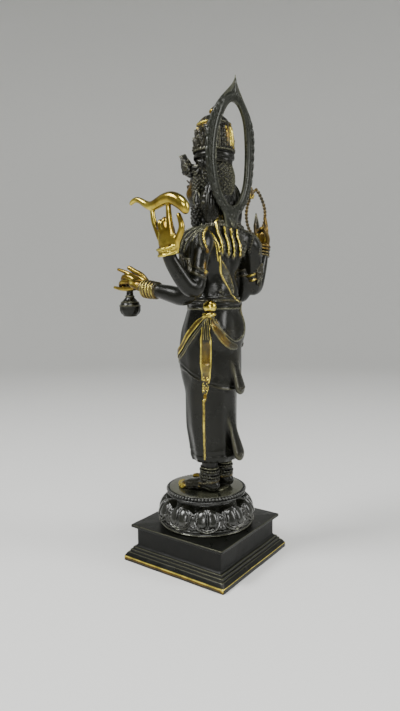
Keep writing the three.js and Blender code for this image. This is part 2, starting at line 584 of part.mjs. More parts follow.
function makeHairAndJewels() {
  const parts = [];
  // seven twisted locks hang side by side over the back
  const LOCKS = 7;
  for (let i = 0; i < LOCKS; i++) {
    const f = i / (LOCKS - 1), top = lerp(18.5, -25, f), end = lerp(14.5, -21.5, f);
    const z = 302.5 + 8 * Math.max(0, f - 0.6) / 0.4 + 1.5 * (1 - f);
    parts.push(limb([[top, 25, 331], [(top + end) / 2, 30.2 - 0.004 * top * top, 318], [end, 31.8 - 0.003 * end * end, z]],
      [2.4, 3.1, 2.6], { n: 4, dome: 0 }));
  }
  for (const s of [1, -1]) {
    // strand of beads and hair in front of each shoulder
    parts.push(limb([[s * 20, 12, 331], [s * 31, 15, 327.4], [s * 39, 24, 322], [s * 39.5, 31.5, 313], [s * 38.6, 34, 304]],
      [2.6, 2.8, 2.6, 2.4, 1.8], { n: 4, dome: 0 }));
  }
  // collar, necklace and pendant
  const M = 12;
  parts.push(hoop(Array.from({ length: M }, (_, i) => {
    const a = (2 * Math.PI * i) / M;
    const front = (1 - Math.sin(a)) / 2;
    return [15.4 * Math.cos(a) * (1 + 0.3 * front), 12.2 + 15.4 * Math.sin(a) * (1 + 0.04 * front), 331 - 12 * front * front];
  }), 2.6, 4));
  parts.push(limb([[0, -3.4, 320], [0, -5.4, 311], [0, -5.6, 303]], [3.4, 4.6, 1.6], { n: 5, dome: 0 }));
  return parts;
}

function makeFigure() {
  const figure = join([...makeTrunk(), ...makeSkirt(), ...makeSashes(), ...makeLegs(), ...makeArms(), ...makeHands(),
    ...makeHead(), ...makeCrown(), ...makeHairAndJewels()]);
  return figure;
}

// ----------------------------------------------------------------- assembly

const bronze = (color, roughness) => new THREE.MeshStandardMaterial({ color, roughness, metalness: 0.9 });

function mesh(name, body, material, place = (p) => p) {
  const m = body.getMesh();
  const g = new THREE.BufferGeometry();
  const xyz = new Float32Array((m.vertProperties.length / m.numProp) * 3);
  for (let i = 0; i < xyz.length / 3; i++) {
    const at = m.numProp * i;
    xyz.set(place([m.vertProperties[at], m.vertProperties[at + 1], m.vertProperties[at + 2]]), 3 * i);
  }
  g.setAttribute('position', new THREE.BufferAttribute(xyz, 3));
  g.setIndex(new THREE.BufferAttribute(new Uint32Array(m.triVerts), 1));
  g.computeVertexNormals();
  const out = new THREE.Mesh(g, material);
  out.name = name;
  return out;
}

const figure = makeFigure();
const halo = makeHalo();

// clearance for the ring and its tang where they meet the hair at the nape
const seat = new THREE.BoxGeometry(2 * (ROOT_HALF_W + GAP), HALO_T * 0.62 + 2 * GAP, 32);
seat.translate(0, HALO_Y, ROOT_FOOT + 16 - GAP);
const ribSeat = new THREE.BoxGeometry(34, 2 * (HALO_T / 2 + 0.4 + GAP), 34);
ribSeat.translate(0, HALO_Y, HALO_FOOT + 3 + 17);

const brahma = new THREE.Group();
brahma.name = 'brahma_figure';
brahma.add(
  mesh('plinth', makePlinth(), bronze(0x1d1a14, 0.42)),
  mesh('lotus_pedestal', makePedestal(), bronze(0x1f1c16, 0.38)),
  mesh('figure', figure.subtract(solid(seat)).subtract(solid(ribSeat)), bronze(0x1b1712, 0.4)),
  mesh('halo', halo, bronze(0x24211a, 0.45), haloPlace),
);

export default brahma;
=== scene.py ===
# Standing four-armed deity figure in dark cast bronze, rubbed to gold on
# its raised work, on a lotus pedestal and a stepped plinth, with an oval halo.
#
# The castings are sculpted as signed distance fields in millimetres, in the
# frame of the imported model, turned into meshes and thinned out.

import math

import bpy
import numpy as np
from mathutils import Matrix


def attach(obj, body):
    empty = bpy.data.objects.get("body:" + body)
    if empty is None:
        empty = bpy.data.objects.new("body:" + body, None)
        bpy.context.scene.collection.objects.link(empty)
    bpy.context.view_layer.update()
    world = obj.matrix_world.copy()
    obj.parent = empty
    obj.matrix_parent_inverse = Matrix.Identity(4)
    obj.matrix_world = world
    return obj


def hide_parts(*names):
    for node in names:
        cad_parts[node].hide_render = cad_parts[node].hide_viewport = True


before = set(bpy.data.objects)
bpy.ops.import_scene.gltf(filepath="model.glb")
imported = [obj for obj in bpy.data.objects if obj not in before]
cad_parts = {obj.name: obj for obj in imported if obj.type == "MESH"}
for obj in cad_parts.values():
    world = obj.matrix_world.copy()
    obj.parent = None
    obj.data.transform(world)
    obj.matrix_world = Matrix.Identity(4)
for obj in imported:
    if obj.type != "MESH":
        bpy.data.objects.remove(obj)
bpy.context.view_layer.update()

VOXEL = 0.5
FINE = 0.4
FAR = 9.0
PAD = 2.6

# --------------------------------------------------------------- dimensions

PLINTH_SIDE = 120.0
PLINTH_TOP = 36.6
GAP = 0.3
LOTUS_R = 50.0
PETALS = 10
WAIST_R = 36.5
RIM_R = 39.6
PEDESTAL_TOP = 72.3
SOLE = 72.6
HEM_Z = 104.0
BELT_Z = 258.5
CROWN_R = 18.0
HALO_Y = 30.8
HALO_OUTER = (338.2, 395.0, 464.6, 40.6, 0.05, 1.6)    # foot, widest, tip, half width, point
HALO_INNER = (348.4, 391.0, 440.8, 26.2, 0.5, 0.0)
HALO_BEND, HALO_LEAN = 385.0, 0.073
ROOT_HALF_W, ROOT_FOOT = 10.5, 328.0

# --------------------------------------------------------- sculpting toolkit


def arr(p):
    return np.asarray(p, float)


def unit(v):
    v = arr(v)
    return v / (np.linalg.norm(v) + 1e-12)


def smooth01(x, a, b):
    t = np.clip((x - a) / (b - a), 0, 1)
    return t * t * (3 - 2 * t)


def smin(a, b, k):
    if k <= 0:
        return np.minimum(a, b)
    h = np.maximum(k - np.abs(a - b), 0) / k
    return np.minimum(a, b) - h * h * (k * 0.25)


def hermite(x, xp, fp):
    """Smooth curve through (xp, fp) with limited slopes."""
    xp, fp = arr(xp), arr(fp)
    s = np.diff(fp) / np.diff(xp)
    m = np.zeros(len(xp))
    m[1:-1] = np.where(s[:-1] * s[1:] > 0, 2 * s[:-1] * s[1:] / (s[:-1] + s[1:] + 1e-12), 0)
    m[0], m[-1] = s[0], s[-1]
    x = np.clip(x, xp[0], xp[-1])
    i = np.clip(np.searchsorted(xp, x, side="right") - 1, 0, len(xp) - 2)
    h = xp[i + 1] - xp[i]
    t = (x - xp[i]) / h
    return ((1 + 2 * t) * (1 - t) ** 2 * fp[i] + t * (1 - t) ** 2 * h * m[i]
            + t * t * (3 - 2 * t) * fp[i + 1] + t * t * (t - 1) * h * m[i + 1])


def spline(points, count, radii=None, closed=False):
    """Points (and radii) evenly spread along a smooth curve."""
    P = arr(points)
    R = None if radii is None else arr(radii)
    if closed:
        P = np.vstack([P[-1:], P, P[:2]])
        if R is not None:
            R = np.concatenate([R[-1:], R, R[:2]])
    else:
        P = np.vstack([2 * P[0] - P[1], P, 2 * P[-1] - P[-2]])
        if R is not None:
            R = np.concatenate([R[:1], R, R[-1:]])
    fine, rad = [], []
    for i in range(1, len(P) - 2):
        for t in np.linspace(0, 1, 24, endpoint=False):
            a = 2 * P[i]
            b = P[i + 1] - P[i - 1]
            c = 2 * P[i - 1] - 5 * P[i] + 4 * P[i + 1] - P[i + 2]
            d = -P[i - 1] + 3 * P[i] - 3 * P[i + 1] + P[i + 2]
            fine.append(0.5 * (a + b * t + c * t * t + d * t ** 3))
            if R is not None:
                rad.append(R[i] + (R[i + 1] - R[i]) * t)
    fine.append(P[-2])
    if R is not None:
        rad.append(R[-2])
    fine = arr(fine)
    s = np.concatenate([[0], np.cumsum(np.linalg.norm(np.diff(fine, axis=0), axis=1))])
    u = np.linspace(0, s[-1], count)
    out = np.stack([np.interp(u, s, fine[:, k]) for k in range(3)], 1)
    if R is None:
        return out
    return out, np.interp(u, s, arr(rad))


def length(P):
    return float(np.linalg.norm(np.diff(arr(P), axis=0), axis=1).sum())


class Field:
    """Signed distance on a dense grid, with a share of gold for each place."""

    def __init__(self, lo, hi, h):
        self.h = h
        self.lo = arr(lo)
        self.n = (np.ceil((arr(hi) - self.lo) / h) + 1).astype(int)
        self.ax = [(self.lo[i] + h * np.arange(self.n[i])).astype(np.float32) for i in range(3)]
        self.d = np.full(tuple(self.n), FAR, np.float32)
        self.g = np.zeros(tuple(self.n), np.uint8)

    def region(self, lo, hi, pad):
        a = np.clip(np.floor((arr(lo) - pad - self.lo) / self.h).astype(int), 0, self.n)
        b = np.clip(np.ceil((arr(hi) + pad - self.lo) / self.h).astype(int) + 1, 0, self.n)
        sl = tuple(slice(int(a[i]), int(b[i])) for i in range(3))
        return (sl, self.ax[0][sl[0]][:, None, None], self.ax[1][sl[1]][None, :, None],
                self.ax[2][sl[2]][None, None, :])

    def merge(self, sl, d, k, gold):
        D = self.d[sl]
        if gold is not None:
            G = self.g[sl]
            m = d < D
            G[m] = int(255 * gold)
        self.d[sl] = smin(D, d.astype(np.float32), k)

    def put(self, fn, lo, hi, k=0.0, gold=0.0, cut=False):
        sl, X, Y, Z = self.region(lo, hi, max(k, PAD) + self.h)
        if min(s.stop - s.start for s in sl) <= 0:
            return
        d = fn(X, Y, Z)
        if cut:
            self.d[sl] = -smin(-self.d[sl], d.astype(np.float32), k)
        else:
            self.merge(sl, d, k, gold)

    # shapes -------------------------------------------------------------

    def egg(self, c, r, k=0.0, gold=0.0, axes=None, cut=False):
        """Ellipsoid; axes are three unit vectors for r[0], r[1], r[2]."""
        c, r = arr(c), arr(r) * np.ones(3)
        if axes is None:
            reach = r

            def fn(X, Y, Z):
                x, y, z = X - c[0], Y - c[1], Z - c[2]
                k0 = np.sqrt((x / r[0]) ** 2 + (y / r[1]) ** 2 + (z / r[2]) ** 2)
                k1 = np.sqrt((x / r[0] ** 2) ** 2 + (y / r[1] ** 2) ** 2 + (z / r[2] ** 2) ** 2)
                return k0 * (k0 - 1) / (k1 + 1e-6)
        else:
            A = np.stack([unit(a) for a in axes])
            reach = np.sqrt(((A * r[:, None]) ** 2).sum(0))

            def fn(X, Y, Z):
                x, y, z = X - c[0], Y - c[1], Z - c[2]
                q = [A[i][0] * x + A[i][1] * y + A[i][2] * z for i in range(3)]
                k0 = np.sqrt(sum((q[i] / r[i]) ** 2 for i in range(3)))
                k1 = np.sqrt(sum((q[i] / r[i] ** 2) ** 2 for i in range(3)))
                return k0 * (k0 - 1) / (k1 + 1e-6)
        self.put(fn, c - reach, c + reach, k, gold, cut)

    def ball(self, c, r, k=0.0, gold=0.0, cut=False):
        c = arr(c)

        def fn(X, Y, Z):
            return np.sqrt((X - c[0]) ** 2 + (Y - c[1]) ** 2 + (Z - c[2]) ** 2) - r
        self.put(fn, c - r, c + r, k, gold, cut)

    def beads(self, P, r, gap=1.85, k=0.0, gold=0.0, closed=False, squash=None):
        """Balls set side by side along a curve."""
        P = arr(P)
        s = np.concatenate([[0], np.cumsum(np.linalg.norm(np.diff(P, axis=0), axis=1))])
        n = max(2, int(round(s[-1] / (gap * r))) + (0 if closed else 1))
        u = np.linspace(0, s[-1], n, endpoint=not closed)
        for q in np.stack([np.interp(u, s, P[:, i]) for i in range(3)], 1):
            self.ball(q, r, k, gold)

    def tube(self, P, R, k=0.0, gold=0.0, flat=None, up=(0, 0, 1), twist=None, cut=False, inner=0.0):
        """Round or flattened tube through points. twist = (strands, pitch,
        depth) turns it into a rope; inner softens the joints of its parts."""
        P = arr(P)
        R = arr(R) * np.ones(len(P))
        big = R.max() * (max(flat) if flat else 1) * (1 + (twist[2] if twist else 0))
        pad = max(k, PAD) + self.h
        sl, X, Y, Z = self.region(P.min(0) - big, P.max(0) + big, pad)
        if min(s.stop - s.start for s in sl) <= 0:
            return
        L = np.full(tuple(s.stop - s.start for s in sl), FAR, np.float32)
        o = arr([s.start for s in sl])
        tang = np.vstack([P[1] - P[0], P[2:] - P[:-2], P[-1] - P[-2]]) if len(P) > 2 else np.vstack([P[1] - P[0]] * 2)
        u = arr(up) - tang[0] * (arr(up) @ tang[0]) / (tang[0] @ tang[0])
        if np.linalg.norm(u) < 1e-3:
            u = np.cross(tang[0], [0.3, 0.9, 0.1])
        u = unit(u)
        run = 0.0
        for i in range(len(P) - 1):
            a, b = P[i], P[i + 1]
            ab = b - a
            L2 = float(ab @ ab)
            if L2 < 1e-9:
                continue
            lo, hi = np.minimum(a, b) - big - pad, np.maximum(a, b) + big + pad
            s0 = np.clip(np.floor((lo - self.lo) / self.h) - o, 0, L.shape).astype(int)
            s1 = np.clip(np.ceil((hi - self.lo) / self.h) + 1 - o, 0, L.shape).astype(int)
            if (s1 <= s0).any():
                continue
            sub = tuple(slice(s0[j], s1[j]) for j in range(3))
            x = X[sub[0]] - a[0]
            y = Y[:, sub[1]] - a[1]
            z = Z[:, :, sub[2]] - a[2]
            raw = (x * ab[0] + y * ab[1] + z * ab[2]) / L2
            t = np.clip(raw, 0, 1)
            dx, dy, dz = x - t * ab[0], y - t * ab[1], z - t * ab[2]
            rr = R[i] + (R[i + 1] - R[i]) * t
            w = unit(ab)
            u = unit(u - w * (u @ w))
            if flat or twist:
                v = np.cross(w, u)
                du = dx * u[0] + dy * u[1] + dz * u[2]
                dv = dx * v[0] + dy * v[1] + dz * v[2]
                if flat:
                    dw = dx * w[0] + dy * w[1] + dz * w[2]
                    q = np.sqrt((du / flat[0]) ** 2 + (dv / flat[1]) ** 2 + dw ** 2)
                    d = (q - rr) * min(flat)
                else:
                    seg = math.sqrt(L2)
                    phi = np.arctan2(dv, du)
                    s = run + t * seg
                    d = (np.sqrt(dx * dx + dy * dy + dz * dz)
                         - rr * (1 + twist[2] * np.cos(twist[0] * phi - 2 * np.pi * s / twist[1])))
            else:
                d = np.sqrt(dx * dx + dy * dy + dz * dz) - rr
            run += math.sqrt(L2)
            L[sub] = smin(L[sub], d.astype(np.float32), inner)
        if cut:
            self.d[sl] = -smin(-self.d[sl], L, k)
        else:
            self.merge(sl, L, k, gold)

    def ring(self, c, axis, R, r, k=0.0, gold=0.0, ry=None, across=None, high=1.0):
        """Torus; with ry and across, an oval one. high stretches it along its axis."""
        c, w = arr(c), unit(axis)
        u = unit(np.cross(w, [0.31, 0.52, 0.79])) if across is None else unit(arr(across) - w * (arr(across) @ w))
        v = np.cross(w, u)
        ry = R if ry is None else ry
        reach = max(R, ry) + r * high

        def fn(X, Y, Z):
            x, y, z = X - c[0], Y - c[1], Z - c[2]
            a = x * u[0] + y * u[1] + z * u[2]
            b = x * v[0] + y * v[1] + z * v[2]
            h = (x * w[0] + y * w[1] + z * w[2]) / high
            q = np.sqrt((a / R) ** 2 + (b / ry) ** 2) + 1e-6
            rho = np.sqrt(a * a + b * b)
            return np.sqrt((rho * (1 - 1 / q)) ** 2 + h * h) - r
        self.put(fn, c - reach, c + reach, k, gold)

    def drum(self, c, axis, R, half, k=0.0, gold=0.0, flare=0.0, lines=0, depth=0.0):
        """Short sleeve, solid inside, waisted by flare, with upright lines."""
        c, w = arr(c), unit(axis)
        u = unit(np.cross(w, [0.31, 0.52, 0.79]))
        v = np.cross(w, u)
        reach = math.hypot(R + abs(flare), half)

        def fn(X, Y, Z):
            x, y, z = X - c[0], Y - c[1], Z - c[2]
            a = x * u[0] + y * u[1] + z * u[2]
            b = x * v[0] + y * v[1] + z * v[2]
            h = x * w[0] + y * w[1] + z * w[2]
            rr = R + flare * (h / half) ** 2
            if lines:
                rr = rr + depth * np.cos(lines * np.arctan2(b, a))
            return np.maximum(np.sqrt(a * a + b * b) - rr, np.abs(h) - half)
        self.put(fn, c - reach, c + reach, k, gold)

    def lathe(self, profile, c=(0, 0), k=0.0, gold=0.0, relief=None, reach=0.0):
        """Turned body: profile of (z, r), relief(theta, z, r) stands out."""
        z, r = arr(profile).T
        zf = np.linspace(z[0], z[-1], max(2, int((z[-1] - z[0]) / 0.1)))
        rf = np.interp(zf, z, r)
        slope = np.abs(np.gradient(rf, zf))
        soft = 1 / np.sqrt(1 + np.minimum(slope, 3) ** 2)
        big = r.max() + reach

        def fn(X, Y, Z):
            x, y = X - c[0], Y - c[1]
            rho = np.sqrt(x * x + y * y)
            rr = np.interp(Z, zf, rf)
            if relief is not None:
                rr = rr + relief(np.arctan2(y, x), Z, rr)
            d = (rho - rr) * np.interp(Z, zf, soft)
            return np.maximum(d, np.maximum(z[0] - Z, Z - z[-1]))
        self.put(fn, (c[0] - big, c[1] - big, z[0]), (c[0] + big, c[1] + big, z[-1]), k, gold)

    def loft(self, table, k=0.0, gold=0.0, relief=None, foot=None, reach=1.5):
        """Oval body from rows (z, middle y, half width, half depth, power)."""
        T = arr(table)
        zf = np.linspace(T[0, 0], T[-1, 0], 400)
        cols = [hermite(zf, T[:, 0], T[:, i]) for i in range(1, 5)]
        a, b = T[:, 2].max() + reach, T[:, 3].max() + reach

        def fn(X, Y, Z):
            yc, A, B, e = (np.interp(Z, zf, c).astype(np.float32) for c in cols)
            y = Y - yc
            ax, ay = np.abs(X) / A, np.abs(y) / B
            if np.ptp(T[:, 4]) == 0 and T[0, 4] == 2:
                q = np.sqrt(ax * ax + ay * ay)
            else:
                q = ((ax + 1e-6) ** e + (ay + 1e-6) ** e) ** (1 / e)
            q = np.maximum(q, 1e-3)
            rho = np.sqrt(X * X + y * y)
            d = rho * (1 - 1 / q)
            if relief is not None:
                d = d - relief(np.arctan2(y, X * (B / A)), Z)
            low = (T[0, 0] if foot is None else foot(y / B)) - Z
            return np.maximum(d * 0.96, np.maximum(low, Z - T[-1, 0]))
        lo = (-a, T[:, 1].min() - b, T[0, 0] - (14 if foot else 0))
        hi = (a, T[:, 1].max() + b, T[-1, 0])
        self.put(fn, lo, hi, k, gold)

    def leaf(self, c, out, w, h, t, k=0.4, gold=0.0, lean=0.0, veins=3, curl=0.25):
        """Upright pointed leaf with a rib and lobes, base at c, facing out."""
        c, o = arr(c), unit(out)
        up = unit(arr([0, 0, 1]) * math.cos(lean) + o * math.sin(lean))
        side = np.cross(up, o)
        face = np.cross(side, up)
        reach = max(w, h) + t

        def fn(X, Y, Z):
            x, y, z = X - c[0], Y - c[1], Z - c[2]
            a = x * side[0] + y * side[1] + z * side[2]
            b = x * up[0] + y * up[1] + z * up[2]
            f = x * face[0] + y * face[1] + z * face[2]
            s = np.clip(b / h, 0, 1)
            half = 0.5 * w * (np.sin(np.pi * np.minimum(s * 0.62 + 0.24, 1)) ** 0.8) * (1 - s ** 3) + 0.15
            f = f - curl * w * s * s
            u = np.abs(a) / half
            thick = t * 0.5 * (0.75 + 0.5 * np.exp(-(a / (0.13 * w)) ** 2) + 0.3 * np.exp(-((u - 0.72) / 0.2) ** 2))
            thick = thick * (1 - 0.35 * s) * (1 + 0.12 * np.cos(veins * 2 * np.pi * s))
            d = np.maximum((u - 1) * half * 0.8, np.abs(f) - thick)
            return np.maximum(d, np.maximum(-b - 0.5, (b - h) * 0.7))
        self.put(fn, c - reach, c + reach, k, gold)

    # measuring ------------------------------------------------------------

    def sample(self, P, grid=None):
        grid = self.d if grid is None else grid
        q = (arr(P) - self.lo) / self.h
        q = np.clip(q, 0, self.n - 1.001)
        i = q.astype(int)
        f = q - i
        out = np.zeros(len(q))
        for dx in (0, 1):
            for dy in (0, 1):
                for dz in (0, 1):
                    w = (np.abs(1 - dx - f[:, 0]) * np.abs(1 - dy - f[:, 1]) * np.abs(1 - dz - f[:, 2]))
                    out += w * grid[i[:, 0] + dx, i[:, 1] + dy, i[:, 2] + dz]
        return out

    def settle(self, P, out=0.0, axis=(0.0, 10.0), start=60.0, stop=3.0):
        """Moves points level towards an upright axis until they lie on the
        surface, then out by the given amount."""
        P = arr(P).copy()
        c = arr(axis)
        v = P[:, :2] - c
        n = v / np.linalg.norm(v, axis=1)[:, None]
        r = np.full(len(P), np.nan)
        for rad in np.arange(start, stop, -0.25):
            q = np.column_stack([c + n * rad, P[:, 2]])
            hit = np.isnan(r) & (self.sample(q) < 0)
            r[hit] = rad
        r = np.where(np.isnan(r), np.linalg.norm(v, axis=1), r)
        if len(r) > 4:
            pad = np.concatenate([r[:1], r[:1], r, r[-1:], r[-1:]])
            r = (pad[:-4] + 2 * pad[1:-3] + 3 * pad[2:-2] + 2 * pad[3:-1] + pad[4:]) / 9
        P[:, :2] = c + n * (r + out)[:, None]
        return P

    def snap(self, P, out=0.0, toward=None, rounds=8):
        """Moves points along the slope of the field until they lie on the
        surface, then out by the given amount. toward draws far points in."""
        P = arr(P).copy()
        e = np.eye(3) * self.h
        if toward is not None:
            for _ in range(24):
                far = self.sample(P) > 2.4
                if not far.any():
                    break
                v = arr(toward) - P[far]
                P[far] += 0.6 * v / np.linalg.norm(v, axis=1)[:, None]
        for _ in range(rounds):
            d = self.sample(P)
            g = np.stack([self.sample(P + v) - self.sample(P - v) for v in e], 1)
            size = np.linalg.norm(g, axis=1)
            g = np.where(size[:, None] > 1e-4, g / (size[:, None] + 1e-9), 0)
            P -= g * np.clip(d - out, -2.0, 2.0)[:, None]
        if len(P) > 4:
            for _ in range(2):
                P[1:-1] = 0.25 * P[:-2] + 0.5 * P[1:-1] + 0.25 * P[2:]
        return P

    # meshing --------------------------------------------------------------

    def mesh(self):
        """Closed quad mesh of the surface, one point for each crossed cell."""
        D = self.d
        D[0], D[-1], D[:, 0], D[:, -1], D[:, :, 0], D[:, :, -1] = (FAR,) * 6
        S = D < 0
        C = np.zeros(tuple(self.n - 1), np.uint8)
        for dx in (0, 1):
            for dy in (0, 1):
                for dz in (0, 1):
                    C += S[dx:dx + C.shape[0], dy:dy + C.shape[1], dz:dz + C.shape[2]]
        cell = np.flatnonzero((C > 0) & (C < 8))
        ijk = np.stack(np.unravel_index(cell, C.shape), 1)
        acc = np.zeros((len(cell), 3), np.float32)
        cnt = np.zeros(len(cell), np.float32)
        corners = [(dx, dy, dz) for dx in (0, 1) for dy in (0, 1) for dz in (0, 1)]
        val = {c: D[ijk[:, 0] + c[0], ijk[:, 1] + c[1], ijk[:, 2] + c[2]] for c in corners}
        for c in corners:
            for axis in range(3):
                if c[axis]:
                    continue
                e = tuple(c[i] + (1 if i == axis else 0) for i in range(3))
                va, vb = val[c], val[e]
                m = (va < 0) != (vb < 0)
                t = va[m] / (va[m] - vb[m])
                p = np.tile(np.array(c, np.float32), (len(t), 1))
                p[:, axis] += t
                acc[m] += p
                cnt[m] += 1
        V = self.lo + self.h * (ijk + acc / cnt[:, None])
        quads = []
        for axis in range(3):
            a = [slice(None)] * 3
            b = [slice(None)] * 3
            a[axis], b[axis] = slice(None, -1), slice(1, None)
            A, B = S[tuple(a)], S[tuple(b)]
            at = np.stack(np.nonzero(A != B), 1)
            inside = A[at[:, 0], at[:, 1], at[:, 2]]
            u, v = (axis + 1) % 3, (axis + 2) % 3
            ring = []
            for du, dv in ((-1, -1), (0, -1), (0, 0), (-1, 0)):
                q = at.copy()
                q[:, u] += du
                q[:, v] += dv
                ring.append(np.searchsorted(cell, np.ravel_multi_index(q.T, C.shape, mode="clip")))
            Q = np.stack(ring, 1)
            Q[~inside] = Q[~inside][:, ::-1]
            quads.append(Q)
        return V, np.vstack(quads)


# ------------------------------------------------------------- Blender side


def raw_mesh(name, V, F):
    k = F.shape[1]
    me = bpy.data.meshes.new(name)
    me.vertices.add(len(V))
    me.vertices.foreach_set("co", (V * 0.001).astype(np.float32).ravel())
    me.loops.add(F.size)
    me.loops.foreach_set("vertex_index", F.astype(np.int32).ravel())
    me.polygons.add(len(F))
    me.polygons.foreach_set("loop_start", (np.arange(len(F)) * k).astype(np.int32))
    me.update(calc_edges=True)
    return me


def read_mesh(me):
    V = np.empty(len(me.vertices) * 3, np.float32)
    me.vertices.foreach_get("co", V)
    me.calc_loop_triangles()
    T = np.empty(len(me.loop_triangles) * 3, np.int32)
    me.loop_triangles.foreach_get("vertices", T)
    return V.reshape(-1, 3).astype(float) * 1000, T.reshape(-1, 3)


def shells(n, F):
    """Label of the connected shell of each vertex."""
    lab = np.arange(n)
    e = np.vstack([F[:, [0, 1]], F[:, [1, 2]], F[:, [2, 0]]])
    while True:
        m = np.minimum(lab[e[:, 0]], lab[e[:, 1]])
        new = lab.copy()
        np.minimum.at(new, e[:, 0], m)
        np.minimum.at(new, e[:, 1], m)
        new = new[new]
        new = new[new]
        if (new == lab).all():
            return lab
        lab = new


def sculpt(name, field, target, node, materials, gold_fn=None):
    """Meshes a field, thins it to a triangle budget and stores the share of
    gold, the hollows and the ridges at each vertex."""
    V, Q = field.mesh()
    ob = bpy.data.objects.new(name + "_raw", raw_mesh(name + "_raw", V, Q))
    bpy.context.scene.collection.objects.link(ob)
    if 2 * len(Q) > target:
        mod = ob.modifiers.new("thin", "DECIMATE")
        mod.ratio = target / (2 * len(Q))
    me = bpy.data.meshes.new_from_object(ob.evaluated_get(bpy.context.evaluated_depsgraph_get()))
    old = ob.data
    bpy.data.objects.remove(ob)
    bpy.data.meshes.remove(old)
    V, T = read_mesh(me)
    bpy.data.meshes.remove(me)
    lab = shells(len(V), T)
    keep = np.zeros(len(V), bool)
    p = V[T]
    vol = np.einsum("ij,ij->i", p[:, 0], np.cross(p[:, 1], p[:, 2])) / 6
    ids, inv = np.unique(lab, return_inverse=True)
    per = np.bincount(inv[T[:, 0]], vol, minlength=len(ids))
    best = np.argmax(per)
    keep = (inv == best)
    lost = [(round(float(per[i]), 2), np.round(V[inv == i].mean(0), 1).tolist()) for i in np.flatnonzero(np.abs(per) > 0.3) if i != best]
    T = T[keep[T[:, 0]]]
    used, T = np.unique(T, return_inverse=True)
    V, T = V[used], T.reshape(-1, 3)
    me = raw_mesh(name, V, T)
    me.shade_smooth()
    N = np.empty(len(V) * 3, np.float32)
    me.vertices.foreach_get("normal", N)
    N = N.reshape(-1, 3).astype(float)
    step = 1.3
    hollow = np.clip(1 - field.sample(V + N * step) / step, 0, 1.5)
    ridge = np.clip(1 + field.sample(V - N * step) / step, 0, 1.2)
    gold = field.sample(V, field.g) / 255
    if gold_fn:
        gold = gold_fn(V, N, gold, hollow, ridge)
    for key, values in (("gold", gold), ("hollow", hollow), ("ridge", ridge)):
        at = me.attributes.new(key, "FLOAT", "POINT")
        at.data.foreach_set("value", np.clip(values, 0, 1.5).astype(np.float32))
    ob = bpy.data.objects.new(name, me)
    bpy.context.scene.collection.objects.link(ob)
    for m in materials:
        me.materials.append(m)
    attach(ob, "root")
    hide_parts(node)
    print("piece", name, "triangles", len(T), "dropped", lost)
    return ob


# ------------------------------------------------------------------ skirt


def skirt_table(z, t):
    """Point and outward direction on the skirt at height z, angle t (degrees)."""
    rows = arr([[100, 11.4, 24.4, 20.6], [112, 11, 26.2, 22.2], [142, 7.6, 29, 23.4], [170, 7.2, 29.8, 23.6],
                [190, 9.2, 32.4, 27], [212, 8.8, 33.6, 27.1], [232, 8.6, 34, 26.4], [246, 10.5, 31.6, 24.1],
                [258.5, 13, 29, 21.9]])
    yc, a, b = (np.interp(z, rows[:, 0], rows[:, i]) for i in (1, 2, 3))
    r = np.radians(t)
    return np.stack([a * np.cos(r), yc + b * np.sin(r), z * np.ones_like(r)], -1)


def path_on_skirt(F, pts, n, out=0.0):
    """Curve through (angle, height) pairs laid on the garment's surface."""
    t, z = arr(pts).T
    flat = spline(np.column_stack([t, z, np.zeros(len(t))]), n)
    P = np.stack([skirt_table(q[1], q[0]) for q in flat])
    return F.settle(P, out, axis=(0, 9))


def turn_right(t):
    """Matching angle on the figure's right side, which lies further forward."""
    t = arr(t)
    return 180 - t + 42 * smooth01(t, -92, 34)


def ribbon(F, P, offsets, r, k=0.5, gold=0.0, axis=(0, 9), out=0.0, taper=None, beads=False):
    """Parallel ridges along a path on the body's surface."""
    P = arr(P)
    tang = np.gradient(P, axis=0)
    tang /= np.linalg.norm(tang, axis=1)[:, None] + 1e-9
    n = P - np.column_stack([np.full(len(P), axis[0]), np.full(len(P), axis[1]), P[:, 2]])
    n /= np.linalg.norm(n, axis=1)[:, None] + 1e-9
    side = np.cross(tang, n)
    base = [F.settle(P + side * o * (taper if taper is not None else 1)[:, None]
                     if taper is not None else P + side * o, out, axis=axis) for o in offsets]
    rr = arr(r) * np.ones(len(offsets))
    for q, w in zip(base, rr):
        if beads:
            F.beads(q, w, k=k, gold=gold)
        else:
            F.tube(q, w * (taper if taper is not None else 1), k=k, gold=gold)


